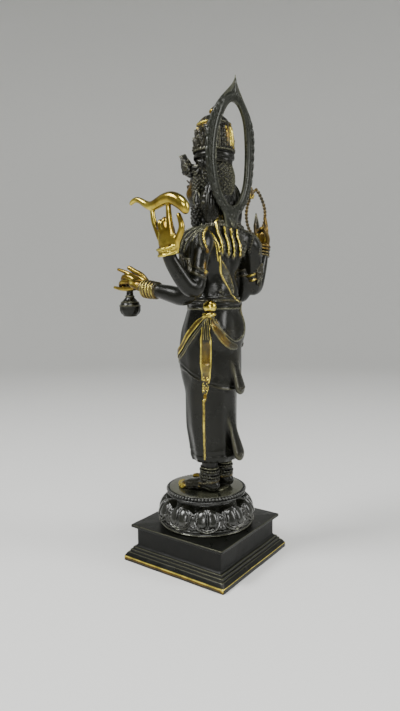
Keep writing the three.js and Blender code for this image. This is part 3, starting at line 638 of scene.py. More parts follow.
def build_trunk(F):
    # torso
    F.loft([
        [255.5, 13.0, 26.6, 19.6, 2.0], [264, 13.2, 25.2, 18.4, 2.0], [275, 13.5, 24.0, 17.2, 2.0],
        [288, 13.5, 26.4, 16.8, 2.0], [300, 13.6, 31, 17.2, 2.1], [311, 14.2, 35, 16.6, 2.2],
        [320, 14.6, 34.4, 13.8, 2.2], [326, 14, 25, 11.2, 2.1], [332, 12.4, 12.4, 9.6, 2.0],
    ])
    for s in (1, -1):
        F.egg((s * 15.5, 25.6, 304), (11.5, 5.4, 14), k=6, axes=[(1, s * -0.25, 0), (s * 0.25, 1, 0), (0, 0, 1)])  # shoulder blade
        F.egg((s * 12.8, 1.4, 305), (12.2, 6.2, 8.6), k=5)                                          # chest
        F.egg((s * 17, 14, 326), (14, 8, 5.4), k=5, axes=[(s * 0.9, 0.1, -0.42), (0, 1, 0), (s * 0.42, 0, 0.9)])
        F.egg((s * 9.5, 24, 268), (8.5, 6.4, 12), k=5)                                              # loins
        F.ball((s * 12.6, -4.6, 303.6), 1.3, k=0.5)
    F.tube([(0, 32.6, 318), (0, 33.6, 300), (0, 32.8, 282), (0, 34, 262)], [1.6, 2.2, 2.4, 2.0], k=3.2, cut=True)
    F.egg((0, 0.6, 270), (15, 6.6, 12), k=7)                                                        # belly
    F.egg((0, -6.4, 271), (1.4, 2.4, 1.8), k=1.2, cut=True)
    F.tube([(0, 12.5, 324), (0, 10, 338), (0, 8, 354)], [11, 9.0, 9.6], k=5)
    for z, g in ((345.6, 0.75), (340.4, 0.6), (335.0, 0.6)):
        F.ring((0, 10.2 + (339 - z) * 0.12, z), (0, 0.1, 1), 9.25 + max(0, 336 - z) * 0.3, g, k=0.9)


def build_skirt(F):
    def folds(t, Z):
        # soft upright folds, closer together in front; drawn towards the knots above
        front = smooth01(-np.sin(t), 0.35, 0.95)
        back = smooth01(np.sin(t), 0.2, 0.9)
        sway = 0.25 * np.sin(Z * 0.045)
        low = smooth01(178 - Z, 0, 60)
        d = 0.45 * np.cos(7 * t + sway) + 0.3 * np.cos(11 * t - 1.7 * sway + 1.1)
        d = d + front * (1.0 * np.cos(19 * t + 0.5 * sway))
        d = d + back * 0.35 * np.cos(9 * t + 2.0 + sway)
        hem = 0.7 * smooth01(111 - Z, 0, 1.2) + 0.35 * np.exp(-((Z - 115.5) / 0.8) ** 2)
        return d * (0.35 + 0.9 * low) + hem

    F.loft([
        [HEM_Z, 11.4, 24.2, 20.4, 2.0], [109, 11.1, 25.6, 21.7, 2.0], [122, 9.8, 27.2, 22.6, 2.0],
        [142, 7.8, 29, 23.4, 2.0], [172, 7.4, 29.8, 23.6, 2.0], [214, 8.6, 31, 24.4, 2.0], [222, 8.6, 30, 24, 2.0],
    ], relief=folds, reach=2.6)
    # hollow of the skirt round the ankles
    F.egg((0, 11, HEM_Z - 3), (21.5, 16.5, 11), cut=True, k=1)
    # short over-skirt: hem high in front, low behind, cloth drawn to the knots

    def over(t, Z):
        front = smooth01(-np.sin(t), 0.3, 0.95)
        back = smooth01(np.sin(t), 0.1, 0.9)
        d = 0.35 * np.cos(9 * t + 0.03 * (Z - 180)) + front * 0.35 * np.cos(16 * t)
        d = d + back * 0.35 * np.cos(7 * t + 0.05 * (Z - 200) + 0.7) * smooth01(244 - Z, 0, 30)
        h = Z - (187 - 13 * np.sin(t))
        d = d + 0.45 * np.exp(-((h - 1.0) / 0.9) ** 2) - 0.4 * np.exp(-((h - 3.2) / 0.7) ** 2) + 0.3 * np.exp(-((h - 4.8) / 0.6) ** 2)
        return d * 1.0

    F.loft([
        [172, 9.2, 31.4, 26.0, 2.0], [187, 9.2, 32.0, 26.6, 2.0], [203, 8.8, 33.2, 27.0, 2.0],
        [228, 8.6, 34.0, 26.5, 2.0], [246, 10.5, 31.5, 24.0, 2.0], [259.5, 13.0, 28.6, 21.6, 2.0],
    ], relief=over, foot=lambda s: 187 - 13 * s, reach=1.6)
    # buttocks and thighs press softly through the cloth
    for s in (1, -1):
        F.egg((s * 13, 25, 232), (15, 10.6, 17), k=6)
        F.egg((s * 14.4, -4.6, 205), (12.6, 13.6, 34), k=6)
    # cloth corners that hang free behind
    F.tube(spline([(1.4, 33.4, 214), (0.6, 36.0, 196), (-1.4, 39.4, 178)], 9), np.linspace(3, 8.4, 9), k=2.4, flat=(0.3, 1), up=(0, 1, 0))
    F.tube(spline([(1.0, 27.4, 160), (-0.4, 32.6, 134), (-1.4, 38.2, 113)], 9), np.linspace(3, 8.8, 9), k=2.4, flat=(0.3, 1), up=(0, 1, 0))
    for c, s in (((-1.4, 42.2, 175.6), 1.0), ((-1.4, 41, 110.8), 1.0)):
        for i in range(5):
            F.ball((c[0] + (i - 2) * 2.9, c[1] - abs(i - 2) * 0.7, c[2] + abs(i - 2) * 0.4), 1.25, k=0.4, gold=0.25)


def build_sashes(F):
    # belt: two rounded rolls with a row of beads between, clasp in front
    th = np.linspace(0, 360, 97)
    for z, r, g in ((262.4, 1.5, 0.18), (257.2, 1.6, 0.18), (252.6, 0.8, 0.1)):
        F.tube(path_on_skirt(F, [(t, z) for t in np.linspace(0, 360, 25)], 97, 0.5), r, k=0.5, gold=g)
    belt = path_on_skirt(F, [(t, 259.8) for t in np.linspace(0, 360, 25)], 97, 0.8)
    F.beads(belt, 1.2, gap=1.95, k=0.15, gold=0.4, closed=True)
    # small granular drops under the belt in front
    for t0, n in ((270, 9),):
        for i in range(n):
            t = t0 + (i - (n - 1) / 2) * 8.0
            q = F.settle(skirt_table(256.2, arr([t])), 0.9, axis=(0, 9))[0]
            F.ball(q, 1.3, k=0.4, gold=0.3)
            F.ball(q + arr([0, 0, -2.2]), 0.95, k=0.4, gold=0.3)
    c = F.settle(arr([[0.01, -20, 259.4]]), 1.4, axis=(0, 9))[0]
    F.egg(c, (5.4, 2.6, 5.0), k=0.8, gold=0.45)
    for i in range(10):
        a = 2 * math.pi * i / 10
        F.egg(c + arr([5.2 * math.cos(a), -0.6, 4.8 * math.sin(a)]), (1.6, 1.4, 1.6), k=0.4, gold=0.45)
    F.ball(c + arr([0, -2.2, 0]), 1.8, k=0.3, gold=0.55)

    for s in (1, -1):
        k = arr([29, 26, 254.6]) if s > 0 else arr([-33.6, 3, 254.6])
        o = unit(arr([k[0], k[1] - 9, 0]))
        # knot: ball with turns of cloth, loops beside it and a collar under it
        F.ball(k, 6.2, k=0.8, gold=1.0)
        for i in range(3):
            ax = unit(arr([0.4 * o[0], 0.4 * o[1], 1]) + np.cross(o, [0, 0, 1]) * (0.5 * (i - 1)))
            F.ring(k, ax, 5.95, 0.5, k=0.9, gold=1.0)
        F.ring(k - arr([s * 0.6, 1.2, 7.2]), (0, 0, 1), 5.0, 1.9, k=0.4, gold=1.0)
        F.ring(k - arr([s * 0.9, 1.6, 9.6]), (0, 0, 1), 3.8, 1.2, k=0.3, gold=1.0)
        side = (lambda t: t) if s > 0 else (lambda t: float(turn_right(t)))
        # hanging end: a smooth band between raised rims, narrowing, with a
        # granular pattern low down
        tail = path_on_skirt(F, [(side(29.5), 247), (side(29.5), 232), (side(29), 219), (side(27.5), 205), (side(26.5), 190), (side(26.5), 173)], 40, 0.1)
        n = len(tail)
        width = np.interp(np.linspace(0, 1, n), [0, 0.24, 0.3, 0.62, 0.72, 0.9, 1.0], [0.66, 0.76, 0.94, 0.96, 0.8, 0.62, 0.4])
        # folds above, a smooth panel in the middle, rubbed bright below
        ribbon(F, tail[:28], (-3.6, -2.4, -1.2, 0, 1.2, 2.4, 3.6), (0.9, 0.8, 0.75, 0.75, 0.75, 0.8, 0.9), k=1.6, gold=0.5, out=0.1, taper=width[:28])
        ribbon(F, tail[25:], (-3.2, -1.6, 0, 1.6, 3.2), (0.95, 0.95, 1.0, 0.95, 0.95), k=1.4, gold=0.5, out=0.15, taper=width[25:])
        ribbon(F, tail, (-5.0, 5.0), 0.7, k=0.4, gold=0.7, out=0.5, taper=width)
        ribbon(F, tail[:13], (-2.6, -0.6, 1.6), 0.7, k=0.6, gold=0.52, out=0.9, taper=width[:13])
        rng = np.random.default_rng(3)
        for i, z in enumerate(np.linspace(189, 175, 6)):
            for j in (-0.8, 0.8):
                q = tail[np.argmin(np.abs(tail[:, 2] - z))]
                o = unit(np.cross([0, 0, 1], q - arr([0, 9, q[2]])))
                q = F.settle(arr([q + o * (j + 0.5 * (i % 2) - 0.25) * 1.9 + rng.uniform(-0.3, 0.3, 3)]), 0.55, axis=(0, 9))[0]
                F.ball(q, rng.uniform(0.6, 0.95), k=0.3, gold=0.75)
        tip = F.settle(tail[-1:] - arr([[0, 0, 3.0]]), 0.4, axis=(0, 9))[0]
        F.egg(tip, (1.7, 1.7, 3.2), k=0.6, gold=0.8)
        F.ball(tip - arr([0, 0, 4.2]), 1.3, k=0.4, gold=0.5)
        # narrow end of the sash down the long skirt
        if s > 0:
            strip = [(26.8, 17, 166), (26.4, 16.6, 140), (24.2, 16.2, 108)]
        else:
            strip = [(-30, 4, 166), (-29.4, 4, 140), (-25.6, 6, 108)]
        st = F.settle(spline(strip, 26), 0.5, axis=(0, 9))
        F.tube(st, np.linspace(1.2, 0.9, 26), k=0.5, gold=0.58)
        # gathered folds: forward to the middle of the front, and round behind
        fwd = [(side(31), 246), (side(16), 239), (side(2), 230), (side(-25), 216), (side(-60), 203), (side(-92), 197)]
        P = path_on_skirt(F, fwd, 44, 0.2)
        wide = np.interp(np.linspace(0, 1, 44), [0, 0.15, 1], [0.55, 0.9, 1.15])
        ribbon(F, P, (s * 3.6, s * 2.0), (1.3, 1.5), k=1.3, gold=0.56, out=0.45, taper=wide)
        ribbon(F, P, (s * 4.9, s * 0.4), (0.55, 0.6), k=0.35, gold=0.64, out=0.75, taper=wide)
        ribbon(F, P, (s * -1.9, s * -3.9), (0.7, 0.65), k=0.35, gold=0.34, out=0.45, taper=wide)
        back = [(side(36), 246), (side(44), 239), (side(53), 230), (side(61), 223.5), (side(75), 218), (side(94), 215.5)]
        P = path_on_skirt(F, back, 34, 0.2)
        wide = np.interp(np.linspace(0, 1, 34), [0, 0.2, 0.75, 1], [0.5, 0.95, 0.95, 0.45])
        ribbon(F, P, (-1.8, 0, 1.8), (1.2, 1.3, 1.2), k=1.8, gold=0.56, out=0.3, taper=wide)
        ribbon(F, P, (-3.6, 3.6), (0.6, 0.7), k=0.4, gold=0.42, out=0.45, taper=wide)

    # middle of the front: a pleated end hanging from the clasp
    top = np.linspace(250, 107, 40)
    P = np.stack([skirt_table(z, arr([270.0]))[0] for z in top])
    P = F.settle(P, 0.2, axis=(0, 9))
    spread = np.interp(np.linspace(0, 1, 40), [0, 0.25, 1], [0.5, 0.85, 1.35])
    ribbon(F, P, (-6, -3.6, -1.2, 1.2, 3.6, 6), (1.3, 1.2, 1.3, 1.3, 1.2, 1.3), k=1.0, gold=0.06, out=0.3, taper=spread)
    # hanging tassel ends beside it
    for s in (1, -1):
        P = path_on_skirt(F, [(270 - s * 16, 252), (270 - s * 21, 232), (270 - s * 22, 214)], 16, 0.5)
        F.tube(P, 1.0, k=0.5, gold=0.2)
        F.egg(P[-1], (2.2, 1.8, 3.2), k=0.5, gold=0.3)

    # thread from the left shoulder down the back, over the belt, up to the knot
    line = [(28, 26.5, 322), (26.5, 29.5, 317.5), (24.6, 32.2, 312.1), (22.5, 32.6, 305.2), (20.7, 32.6, 298.3), (18, 31.6, 288.4),
            (13.7, 31.2, 281.4), (8.7, 32, 274.2), (1.2, 34, 265.9), (-6.2, 35.6, 258.4)]
    thread = F.settle(spline(line, 90), 0.55, axis=(0, 13))
    F.tube(thread[:48], 1.0, k=0.2, gold=0.8)
    F.tube(thread[46:], 0.95, k=0.2, gold=0.54)
    ribbon(F, thread[:34], (2.1,), 0.7, k=0.25, gold=0.55, axis=(0, 13), out=0.5)
    # woven band between the thread and a second line beside it
    right = F.settle(spline([(17.4, 32.4, 296.5), (11.5, 32, 292.2), (4.1, 31.6, 286.8), (-1.1, 31.6, 279.6), (-3.5, 32.6, 272.2), (-3.2, 34, 266.9)], 60), 0.4, axis=(0, 13))
    F.tube(right, 0.65, k=0.2, gold=0.45)
    left = thread[38:80]
    for i in range(22):
        f = (i + 0.5) / 22
        a = left[int(f * (len(left) - 1))]
        b = right[min(len(right) - 1, int((0.12 + 0.88 * f) * (len(right) - 1)))]
        m = max(2, int(np.linalg.norm(b - a) / 1.35))
        q = a + (b - a) * (np.arange(1, m) / m)[:, None]
        if len(q):
            for c in F.settle(q, 0.15, axis=(0, 13)):
                F.ball(c, 0.72, k=0.3, gold=0.22)
    drop = path_on_skirt(F, [(112, 260), (115, 249), (115, 236), (110, 226), (98, 222), (86, 221.5), (72, 225), (58, 232), (45, 240), (38, 246)], 80, 0.75)
    F.tube(drop, 0.85, k=0.1, gold=0.38)
    F.tube(spline([thread[-3], thread[-1], drop[1], drop[5]], 14), 0.85, k=0.1, gold=0.38)
    # small granular ornament over the belt
    for i, (x, z) in enumerate(((14.2, 264.6), (16.0, 267.0), (17.8, 264.4), (16.0, 269.6), (18.8, 268.0), (13.6, 267.6))):
        q = F.settle(arr([[x, 31, z]]), 0.5, axis=(0, 13))[0]
        F.ball(q, 1.35 if i < 3 else 1.05, k=0.3, gold=0.12)

    # the thread crosses the chest in front
    front = spline([(27, 6, 324), (20, -2, 313), (8, -5.5, 298), (-4, -4.6, 284), (-15, -2, 272), (-22, 2, 263)], 50)
    front = F.settle(front, 0.4, axis=(0, 13))
    for o in (-1.2, 1.2):
        ribbon(F, front, (o,), 0.8, k=0.3, gold=0.15, axis=(0, 13), out=0.1)


def build_legs(F):
    for s in (1, -1):
        F.tube([(s * 12, 12.5, 118), (s * 12, 13, 96), (s * 12.4, 12.8, 82)], [9.6, 7.4, 6.8], k=1.5)
        F.egg((s * 12.6, 16.6, 78.6), (6.6, 7.8, 6.6), k=3)
        F.tube([(s * 12.6, 12, 80), (s * 13.8, 3, 78.6), (s * 15.0, -7, 76.4), (s * 16.0, -13, 75.6)], [7.0, 7.2, 6.6, 5.4], k=3, flat=(0.82, 1.06), inner=2)
        for i in range(5):
            x, y = 11.4 + i * 2.65, -23.0 + i * i * 0.55
            r = 2.3 if i == 0 else 1.65 - 0.08 * i
            F.tube([(s * x, -12, 76.2), (s * (x + 0.3), y + 3.4, 76.0), (s * (x + 0.5), y, SOLE + r + 0.1)], [r + 0.3, r, r], k=0.8, inner=0.6, gold=0.8)
            F.egg((s * (x + 0.5), y - 0.4, SOLE + r + 1.2), (r * 0.62, r * 0.8, 0.7), k=0.3, gold=0.9)
        # ankle rings and a loose string of beads over the foot
        for z, r, w in ((97.0, 8.4, 0.9), (91.4, 8.5, 1.3), (85.6, 9.0, 1.2)):
            F.ring((s * 12.2, 12.8, z), (0, 0.06, 1), r, w, k=0.3, gold=0.15)
        for z, r, w in ((94.2, 8.9, 1.35), (88.5, 9.2, 1.5)):
            loop = [(s * 12.2 + r * math.cos(a), 12.8 + r * math.sin(a), z - 0.06 * r * math.sin(a)) for a in np.linspace(0, 2 * math.pi, 40)]
            F.beads(loop, w, gap=1.9, k=0.25, gold=0.2, closed=True)
        loop = [(s * 12.4 + 9.6 * math.cos(a), 11.4 + 10.4 * math.sin(a), 82.2 + 1.9 * math.sin(a)) for a in np.linspace(0, 2 * math.pi, 40)]
        F.beads(loop, 1.35, gap=1.8, k=0.3, gold=0.45, closed=True)
        for i in range(7):
            a = math.radians(200 + i * 23.3)
            F.ball((s * 12.4 + 10.4 * math.cos(a), 11.2 + 11.2 * math.sin(a), 79.0 + 0.6 * math.sin(a)), 1.2, k=0.3, gold=0.5)
    # low web of metal between the feet
    F.egg((0, 12, SOLE + 0.6), (16, 12, 2.2), k=1.5)
    sl, X, Y, Z = F.region((-70, -70, SOLE - 14), (70, 70, SOLE + 2), 0)
    F.d[sl] = np.maximum(F.d[sl], (SOLE - Z) * np.ones_like(F.d[sl]))


def finger(F, pts, r0, r1, gold=0.0, k=0.7, nail=None):
    P, R = spline(pts, 12, np.linspace(r0, r1, len(pts)))
    F.tube(P, R, k=k, gold=gold)
    if nail is not None:
        q, w = P[-2], unit(P[-1] - P[-3])
        n = unit(arr(nail) - w * (arr(nail) @ w))
        F.egg(q + n * r1 * 0.62, (r1 * 0.95, r1 * 0.66, r1 * 0.5), k=0.25, gold=gold, axes=[w, np.cross(n, w), n])


def build_arms(F):
    rear_l = ([(35, 22, 316), (42, 27.6, 311.5), (47.5, 29, 303), (51, 29.4, 290), (52.6, 29.4, 277), (56, 28.6, 271), (62, 26, 272.5), (69.6, 22, 283.4), (75.8, 18.8, 294), (78.5, 17.8, 302)],
              [10.2, 9.8, 8.4, 7.2, 6.8, 7.2, 7.0, 6.5, 5.6, 5.2])
    rear_r = ([(-35, 22, 318.5), (-41.5, 26.4, 314), (-45.8, 26.8, 304), (-48.4, 25.6, 291), (-51.6, 24.2, 279), (-56, 23, 272.8), (-63.4, 22, 276), (-71.6, 21.2, 291), (-77.4, 20.8, 304), (-79.5, 20.4, 313)],
              [10.5, 10.4, 9.4, 8.0, 7.2, 7.0, 7.0, 6.6, 5.8, 5.2])
    front_l = ([(34, 15, 316), (41.5, 14.2, 312), (45, 15.2, 303), (46, 17.5, 290), (47.4, 18.0, 276), (48, 15.6, 267), (48, 8, 264), (48, -6, 267), (48, -20, 269.8), (48, -30, 271.2)],
               [10.2, 10.2, 9.4, 8.0, 7.6, 7.8, 7.9, 7.2, 5.9, 5.4])
    front_r = ([(-34, 15, 316), (-41.5, 14.4, 312), (-45, 15.2, 303), (-46, 17, 290), (-47, 17, 274), (-47.4, 13.2, 266), (-46.6, 7, 267), (-44, -7, 277), (-42.6, -14, 285), (-42, -18.6, 291)],
               [10.2, 10.2, 9.4, 8.0, 7.6, 7.7, 7.8, 7.0, 5.9, 5.4])
    for (pts, r), g in ((rear_l, 0.0), (rear_r, 0.0), (front_l, 0.0), (front_r, 0.0)):
        P, R = spline(pts, 34, r)
        F.tube(P, R, k=3.0, inner=1.5, gold=g)
    # elbows
    F.egg((54.5, 29.2, 269.6), (5.2, 4.6, 5.2), k=3)
    F.egg((-54.0, 23.6, 270.6), (5.2, 4.6, 5.2), k=3)
    F.egg((48, 18.4, 265), (5.0, 5.4, 5.0), k=3)

    def armlet(c, axis, R, leaf_dir=None, gold=0.3, h=17.0, w0=11.5, face=None):
        w = unit(axis)
        c = arr(c)
        for o, r in ((-2.8, 1.15), (2.8, 1.15)):
            F.ring(c + w * o, w, R, r, k=0.3, gold=gold)
        F.drum(c, w, R + 0.2, 2.6, k=0.3, gold=gold * 0.5, lines=20, depth=0.25)
        if leaf_dir is not None:
            gold = gold if face is None else face
            o = unit(leaf_dir)
            base = c + o * (R - 0.6) + arr([0, 0, -3.6])
            F.leaf(base, o, w0, h, 5.0, gold=gold, lean=-0.02)
            F.egg(base + o * 1.2 + arr([0, 0, 3.8]), (2.8, 2.8, 2.8), k=0.5, gold=gold + 0.1)
            side = np.cross(o, [0, 0, 1])
            for i in range(7):
                a = math.pi * (i / 6.0)
                F.ball(base + o * 1.6 + side * 4.4 * math.cos(a) + arr([0, 0, 3.8 + 4.4 * math.sin(a)]), 1.15, k=0.3, gold=gold + 0.1)
            for i in range(9):
                a = math.pi * (0.08 + 0.84 * i / 8)
                F.ball(base + o * 1.2 + side * 0.46 * w0 * math.cos(a) + arr([0, 0, 5.5 + (h - 7.5) * math.sin(a) ** 1.5]), 0.85, k=0.3, gold=gold)
            F.egg(base + o * 1.0 + arr([0, 0, -4.4]), (2.6, 1.3, 4.6), k=0.4, gold=gold, axes=[side, o, (0, 0, 1)])
            for j in (-1, 1):
                F.tube([base + side * j * 2.4 + o, base + side * j * 3.4 + o * 0.6 + arr([0, 0, -5.0])], [1.0, 0.6], k=0.3, gold=gold)
    armlet((51.4, 29.4, 284.5), (-0.28, 0.2, 0.93), 7.8, leaf_dir=(0.58, -0.81, 0), gold=0.3)
    armlet((-49.5, 25.2, 285.5), (-0.45, 0.1, -0.88), 8.3, leaf_dir=(0.05, 1, 0), gold=0.6, h=15, face=0.3)
    armlet((46.4, 17.6, 288), (0.1, 0.1, -1), 8.8, leaf_dir=(0.94, -0.34, 0))
    armlet((-46.4, 16.8, 288), (-0.1, 0.1, -1), 8.8, leaf_dir=(-0.94, -0.34, 0))


def cuff(F, c, axis, R, half, gold):
    w = unit(axis)
    c = arr(c)
    F.drum(c, w, R - 1.1, half, k=0.3, gold=gold, lines=22, depth=0.3)
    for o in (-half, half):
        F.ring(c + w * o, w, R - 0.7, 1.25, k=0.3, gold=gold)


def build_hands(F):
    G = 1.0
    # left rear hand: back of the hand outward, emblem on the fingertips
    cuff(F, (78.6, 17.6, 302.6), (0.2, -0.1, 1), 9.4, 2.6, G)
    F.tube([(78.8, 17.4, 300), (79, 17.4, 309), (79, 16.6, 317.6)], [5.6, 8.4, 9.0], k=1.5, flat=(0.42, 1.0), up=(1, 0, 0), gold=G, inner=1.5)
    F.egg((79.4, 17.6, 311), (4.4, 8.2, 8.6), k=2, gold=G)
    F.egg((78, 25.0, 308.6), (4.0, 4.6, 7.4), k=2, gold=G)
    finger(F, [(79, 9.4, 314), (79.2, 7.0, 319.5), (79.4, 3.4, 327.6), (79, 1.6, 334.6), (79, 1.2, 340.4)], 2.9, 2.0, G, nail=(1, 0, 0))
    finger(F, [(79, 13.4, 316), (80.6, 11.6, 322.6), (79.6, 10.6, 327.2), (75.4, 10.6, 326.8)], 3.0, 2.2, G)
    finger(F, [(79, 17.4, 316.6), (80.8, 16.2, 323.6), (79.8, 15.4, 328.6), (75.2, 15.2, 328.6)], 3.1, 2.3, G)
    finger(F, [(79, 21.6, 315), (79.6, 21.4, 321), (79.8, 20.2, 330), (79, 19, 337), (79, 18.7, 343)], 3.1, 2.1, G, nail=(1, 0, 0))
    finger(F, [(78.4, 24.6, 307), (78.8, 29.2, 313), (79.4, 33.0, 320.6), (79.2, 32, 326), (78.8, 29.6, 331.4)], 3.4, 2.0, G, nail=(1, 0.6, 0))
    em = [(79, -23.2, 345.8), (79, -20.8, 347.6), (79, -16.4, 348.4), (79, -12.2, 347.2), (79, -5.7, 343.5), (79, 1, 341.5), (79, 8, 343.4), (79, 15.4, 345.8),
          (79, 23, 345.9), (79, 30.3, 342.3), (79, 35.0, 338.2), (79, 36.8, 334.6)]
    P, R = spline(em, 40, [1.5, 1.9, 2.3, 2.4, 3.0, 3.9, 4.4, 4.8, 5.2, 5.4, 4.8, 3.2])
    F.tube(P, R, k=0.6, gold=G, inner=0.8)
    F.tube(P[8:34] + arr([3.4, 0, 1.6]) * (R[8:34, None] / 5), 0.55, k=0.5, gold=G)
    F.tube(P[8:34] + arr([-3.4, 0, 1.6]) * (R[8:34, None] / 5), 0.55, k=0.5, gold=G)
    F.egg((79, 36.6, 335.8), (3.4, 2.0, 3.6), k=0.4, gold=G)
    # right rear hand, holding the loop of beads
    cuff(F, (-79.6, 20.4, 314.8), (-0.2, 0, 1), 7.8, 1.5, 0.6)
    for z in (309.6, 306.6):
        F.ring((-79.0, 20.6, z), (-0.24, -0.04, 1), 6.8, 1.0, k=0.3, gold=0.45)
    F.tube([(-79.6, 20.4, 313), (-79.8, 20, 320), (-80, 19.4, 326.4)], [4.8, 6.9, 7.2], k=1.3, flat=(0.45, 1.0), up=(1, 0, 0), gold=0.7, inner=1.5)
    finger(F, [(-80, 14.6, 323), (-80.2, 12.6, 329), (-80, 11.4, 335), (-79.6, 11.4, 340.6)], 2.5, 1.6, 0.7, nail=(-1, 0, 0))
    finger(F, [(-80, 17.6, 325), (-81, 17, 331), (-79.4, 16.4, 334.4), (-76, 16.4, 333.6)], 2.5, 1.8, 0.7)
    finger(F, [(-80, 20.6, 325.4), (-81, 20.6, 332), (-79.6, 20.4, 335.8), (-76, 20.2, 335.2)], 2.5, 1.9, 0.7)
    finger(F, [(-80, 23.4, 324), (-80.4, 24.4, 331), (-80.2, 24.0, 339), (-79.8, 22.6, 347)], 2.5, 1.6, 0.7, nail=(-1, 0, 0))
    finger(F, [(-79.4, 25.2, 318), (-78.6, 27, 324), (-77.2, 25.6, 331), (-76.4, 23.4, 336)], 2.7, 1.7, 0.7)
    # front left hand, holding the water pot
    for y, r in ((-20.4, 6.9), (-23.6, 7.1), (-27.0, 7.4), (-30.6, 7.4), (-33.8, 7.1)):
        F.ring((48, y, 269.9 + (-20.4 - y) * 0.12), (0, -1, 0.16), r, 1.3, k=0.3, gold=0.5)
        beads = [(48 + (r + 0.9) * math.cos(a), y - 1.6, 269.9 + (-20.4 - y) * 0.12 + (r + 0.9) * math.sin(a)) for a in np.linspace(0, 2 * math.pi, 40)]
        F.beads(beads, 0.85, gap=2.0, k=0.25, gold=0.5, closed=True)
    F.tube([(48, -31, 271.4), (48.2, -39, 274.6), (48.4, -46, 277.2)], [5.4, 7.6, 7.6], k=1.5, flat=(0.56, 1.0), up=(0.35, 0, 1), gold=0.85, inner=1.5)
    F.egg((48.4, -42, 275.8), (6.8, 7, 4.2), k=1.5, gold=0.85)
    finger(F, [(46, -43, 279), (46.4, -51, 283.4), (46.8, -61, 288), (47, -70.8, 291.2)], 2.9, 1.5, 0.9, nail=(0.2, 0, 1))
    finger(F, [(43.4, -37, 277.6), (43.2, -44, 284.6), (44, -51, 288.4), (45, -58.2, 292.4)], 3.2, 2.2, 0.9, nail=(0.2, 0, 1))
    finger(F, [(48, -45, 278.6), (48.6, -55, 283.0), (48.4, -62.4, 283.4), (46, -65.4, 279.4), (44.6, -61.6, 276.4)], 3.0, 2.2, 0.9)
    finger(F, [(49.6, -44, 275.6), (50.4, -54, 278.4), (50.2, -63, 278.6), (48, -66.8, 275.4), (46.4, -63.4, 272.2)], 2.9, 2.1, 0.9)
    finger(F, [(50.8, -42, 273), (51.8, -52, 272), (51.8, -62, 271.8), (51, -72.4, 273.6)], 2.6, 1.5, 0.9, nail=(0.4, 0, 1))
    c = (48, -55.4)
    F.lathe([(244.8, 3.4), (245.8, 6.2), (248, 8.8), (251, 10.1), (254.6, 10.3), (258, 9.2), (261, 6.8), (263.4, 4.4), (266.4, 3.4), (269, 3.2), (272, 4.2), (273.4, 4.8), (275, 4.2)], c, k=0.5,
            relief=lambda t, z, r: 0.28 * np.cos(12 * t) * smooth01(254 - z, 0, 4) * smooth01(z - 246, 0, 2))
    for z, r, w in ((255.6, 10.2, 0.55), (259.2, 8.6, 0.5), (246.0, 6.0, 0.8), (264.6, 4.1, 0.7)):
        F.ring((c[0], c[1], z), (0, 0, 1), r, w, k=0.3, gold=0.05)
    # front right hand, raised in blessing
    for o in (-2.6, 0, 2.6):
        F.ring(arr((-42.3, -16.9, 288)) + unit((0.06, -0.65, 0.75)) * o, (0.06, -0.65, 0.75), 6.7, 1.2, k=0.3, gold=0.35)
    F.tube([(-42.2, -17.6, 289.6), (-41.6, -21.3, 300), (-41.4, -22.6, 310.6)], [5.2, 7.9, 7.9], k=1.5, flat=(0.46, 1.0), up=(0, -1, 0), gold=0.3, inner=1.5)
    F.egg((-37.6, -23, 299), (4.2, 3.4, 6.6), k=2, gold=0.3)
    for i in range(4):
        x, l = -47.8 + i * 4.2, [17, 21.4, 22.8, 19.4][i]
        finger(F, [(x, -22.6, 307), (x, -23.6, 314), (x + 0.1, -23.8, 320), (x + 0.2, -23.0, 313 + l)], 2.3, 1.5, 0.3, nail=(0, 1, 0))
    finger(F, [(-36.8, -21.6, 298), (-32.6, -23.2, 304), (-30.8, -24, 309.4), (-30.8, -24.2, 313.6)], 2.9, 1.8, 0.3, nail=(0.6, 1, 0))
    # loop of beads with a small leaf inside it, on the right rear fingers
    a = np.linspace(0, 2 * math.pi, 121)
    up = np.sin(a)
    w = 10 * np.cos(a) * np.where(up > 0, 1 - 0.5 * up * up, 1)
    loop = np.column_stack([-80 + w * 0.58, 11.4 - w * 0.82, 351 + np.where(up > 0, 26, 22) * up])
    F.beads(loop, 1.95, gap=1.86, gold=0.56, closed=True)
    F.tube(loop, 0.7, gold=0.3)
    q = loop[17]
    o = unit((0.81, 0.58, 0.0))
    F.egg(q + o * 1.0 + arr([0, 0, 1.8]), (2.6, 2.4, 4.8), k=0.3, gold=0.55)
    F.egg(q + o * 0.6 + arr([0, 0, 6.2]), (1.1, 1.1, 2.6), k=0.6, gold=0.55)
    for i in range(5):
        a = 2 * math.pi * (i + 0.25) / 5
        F.ball(q + o * 2.6 + np.cross(o, [0, 0, 1]) * 2.0 * math.cos(a) + arr([0, 0, 2.0 * math.sin(a) - 1.5]), 1.2, k=0.15, gold=0.6)
    F.tube(spline([(-80.4, 11.8, 328), (-80.5, 12, 340), (-80.4, 11.6, 352)], 12), np.interp(np.linspace(0, 1, 12), [0, 0.45, 1], [2.2, 3.4, 0.8]), k=0.4, flat=(0.6, 1), up=(0.82, 0.57, 0), gold=0.3)


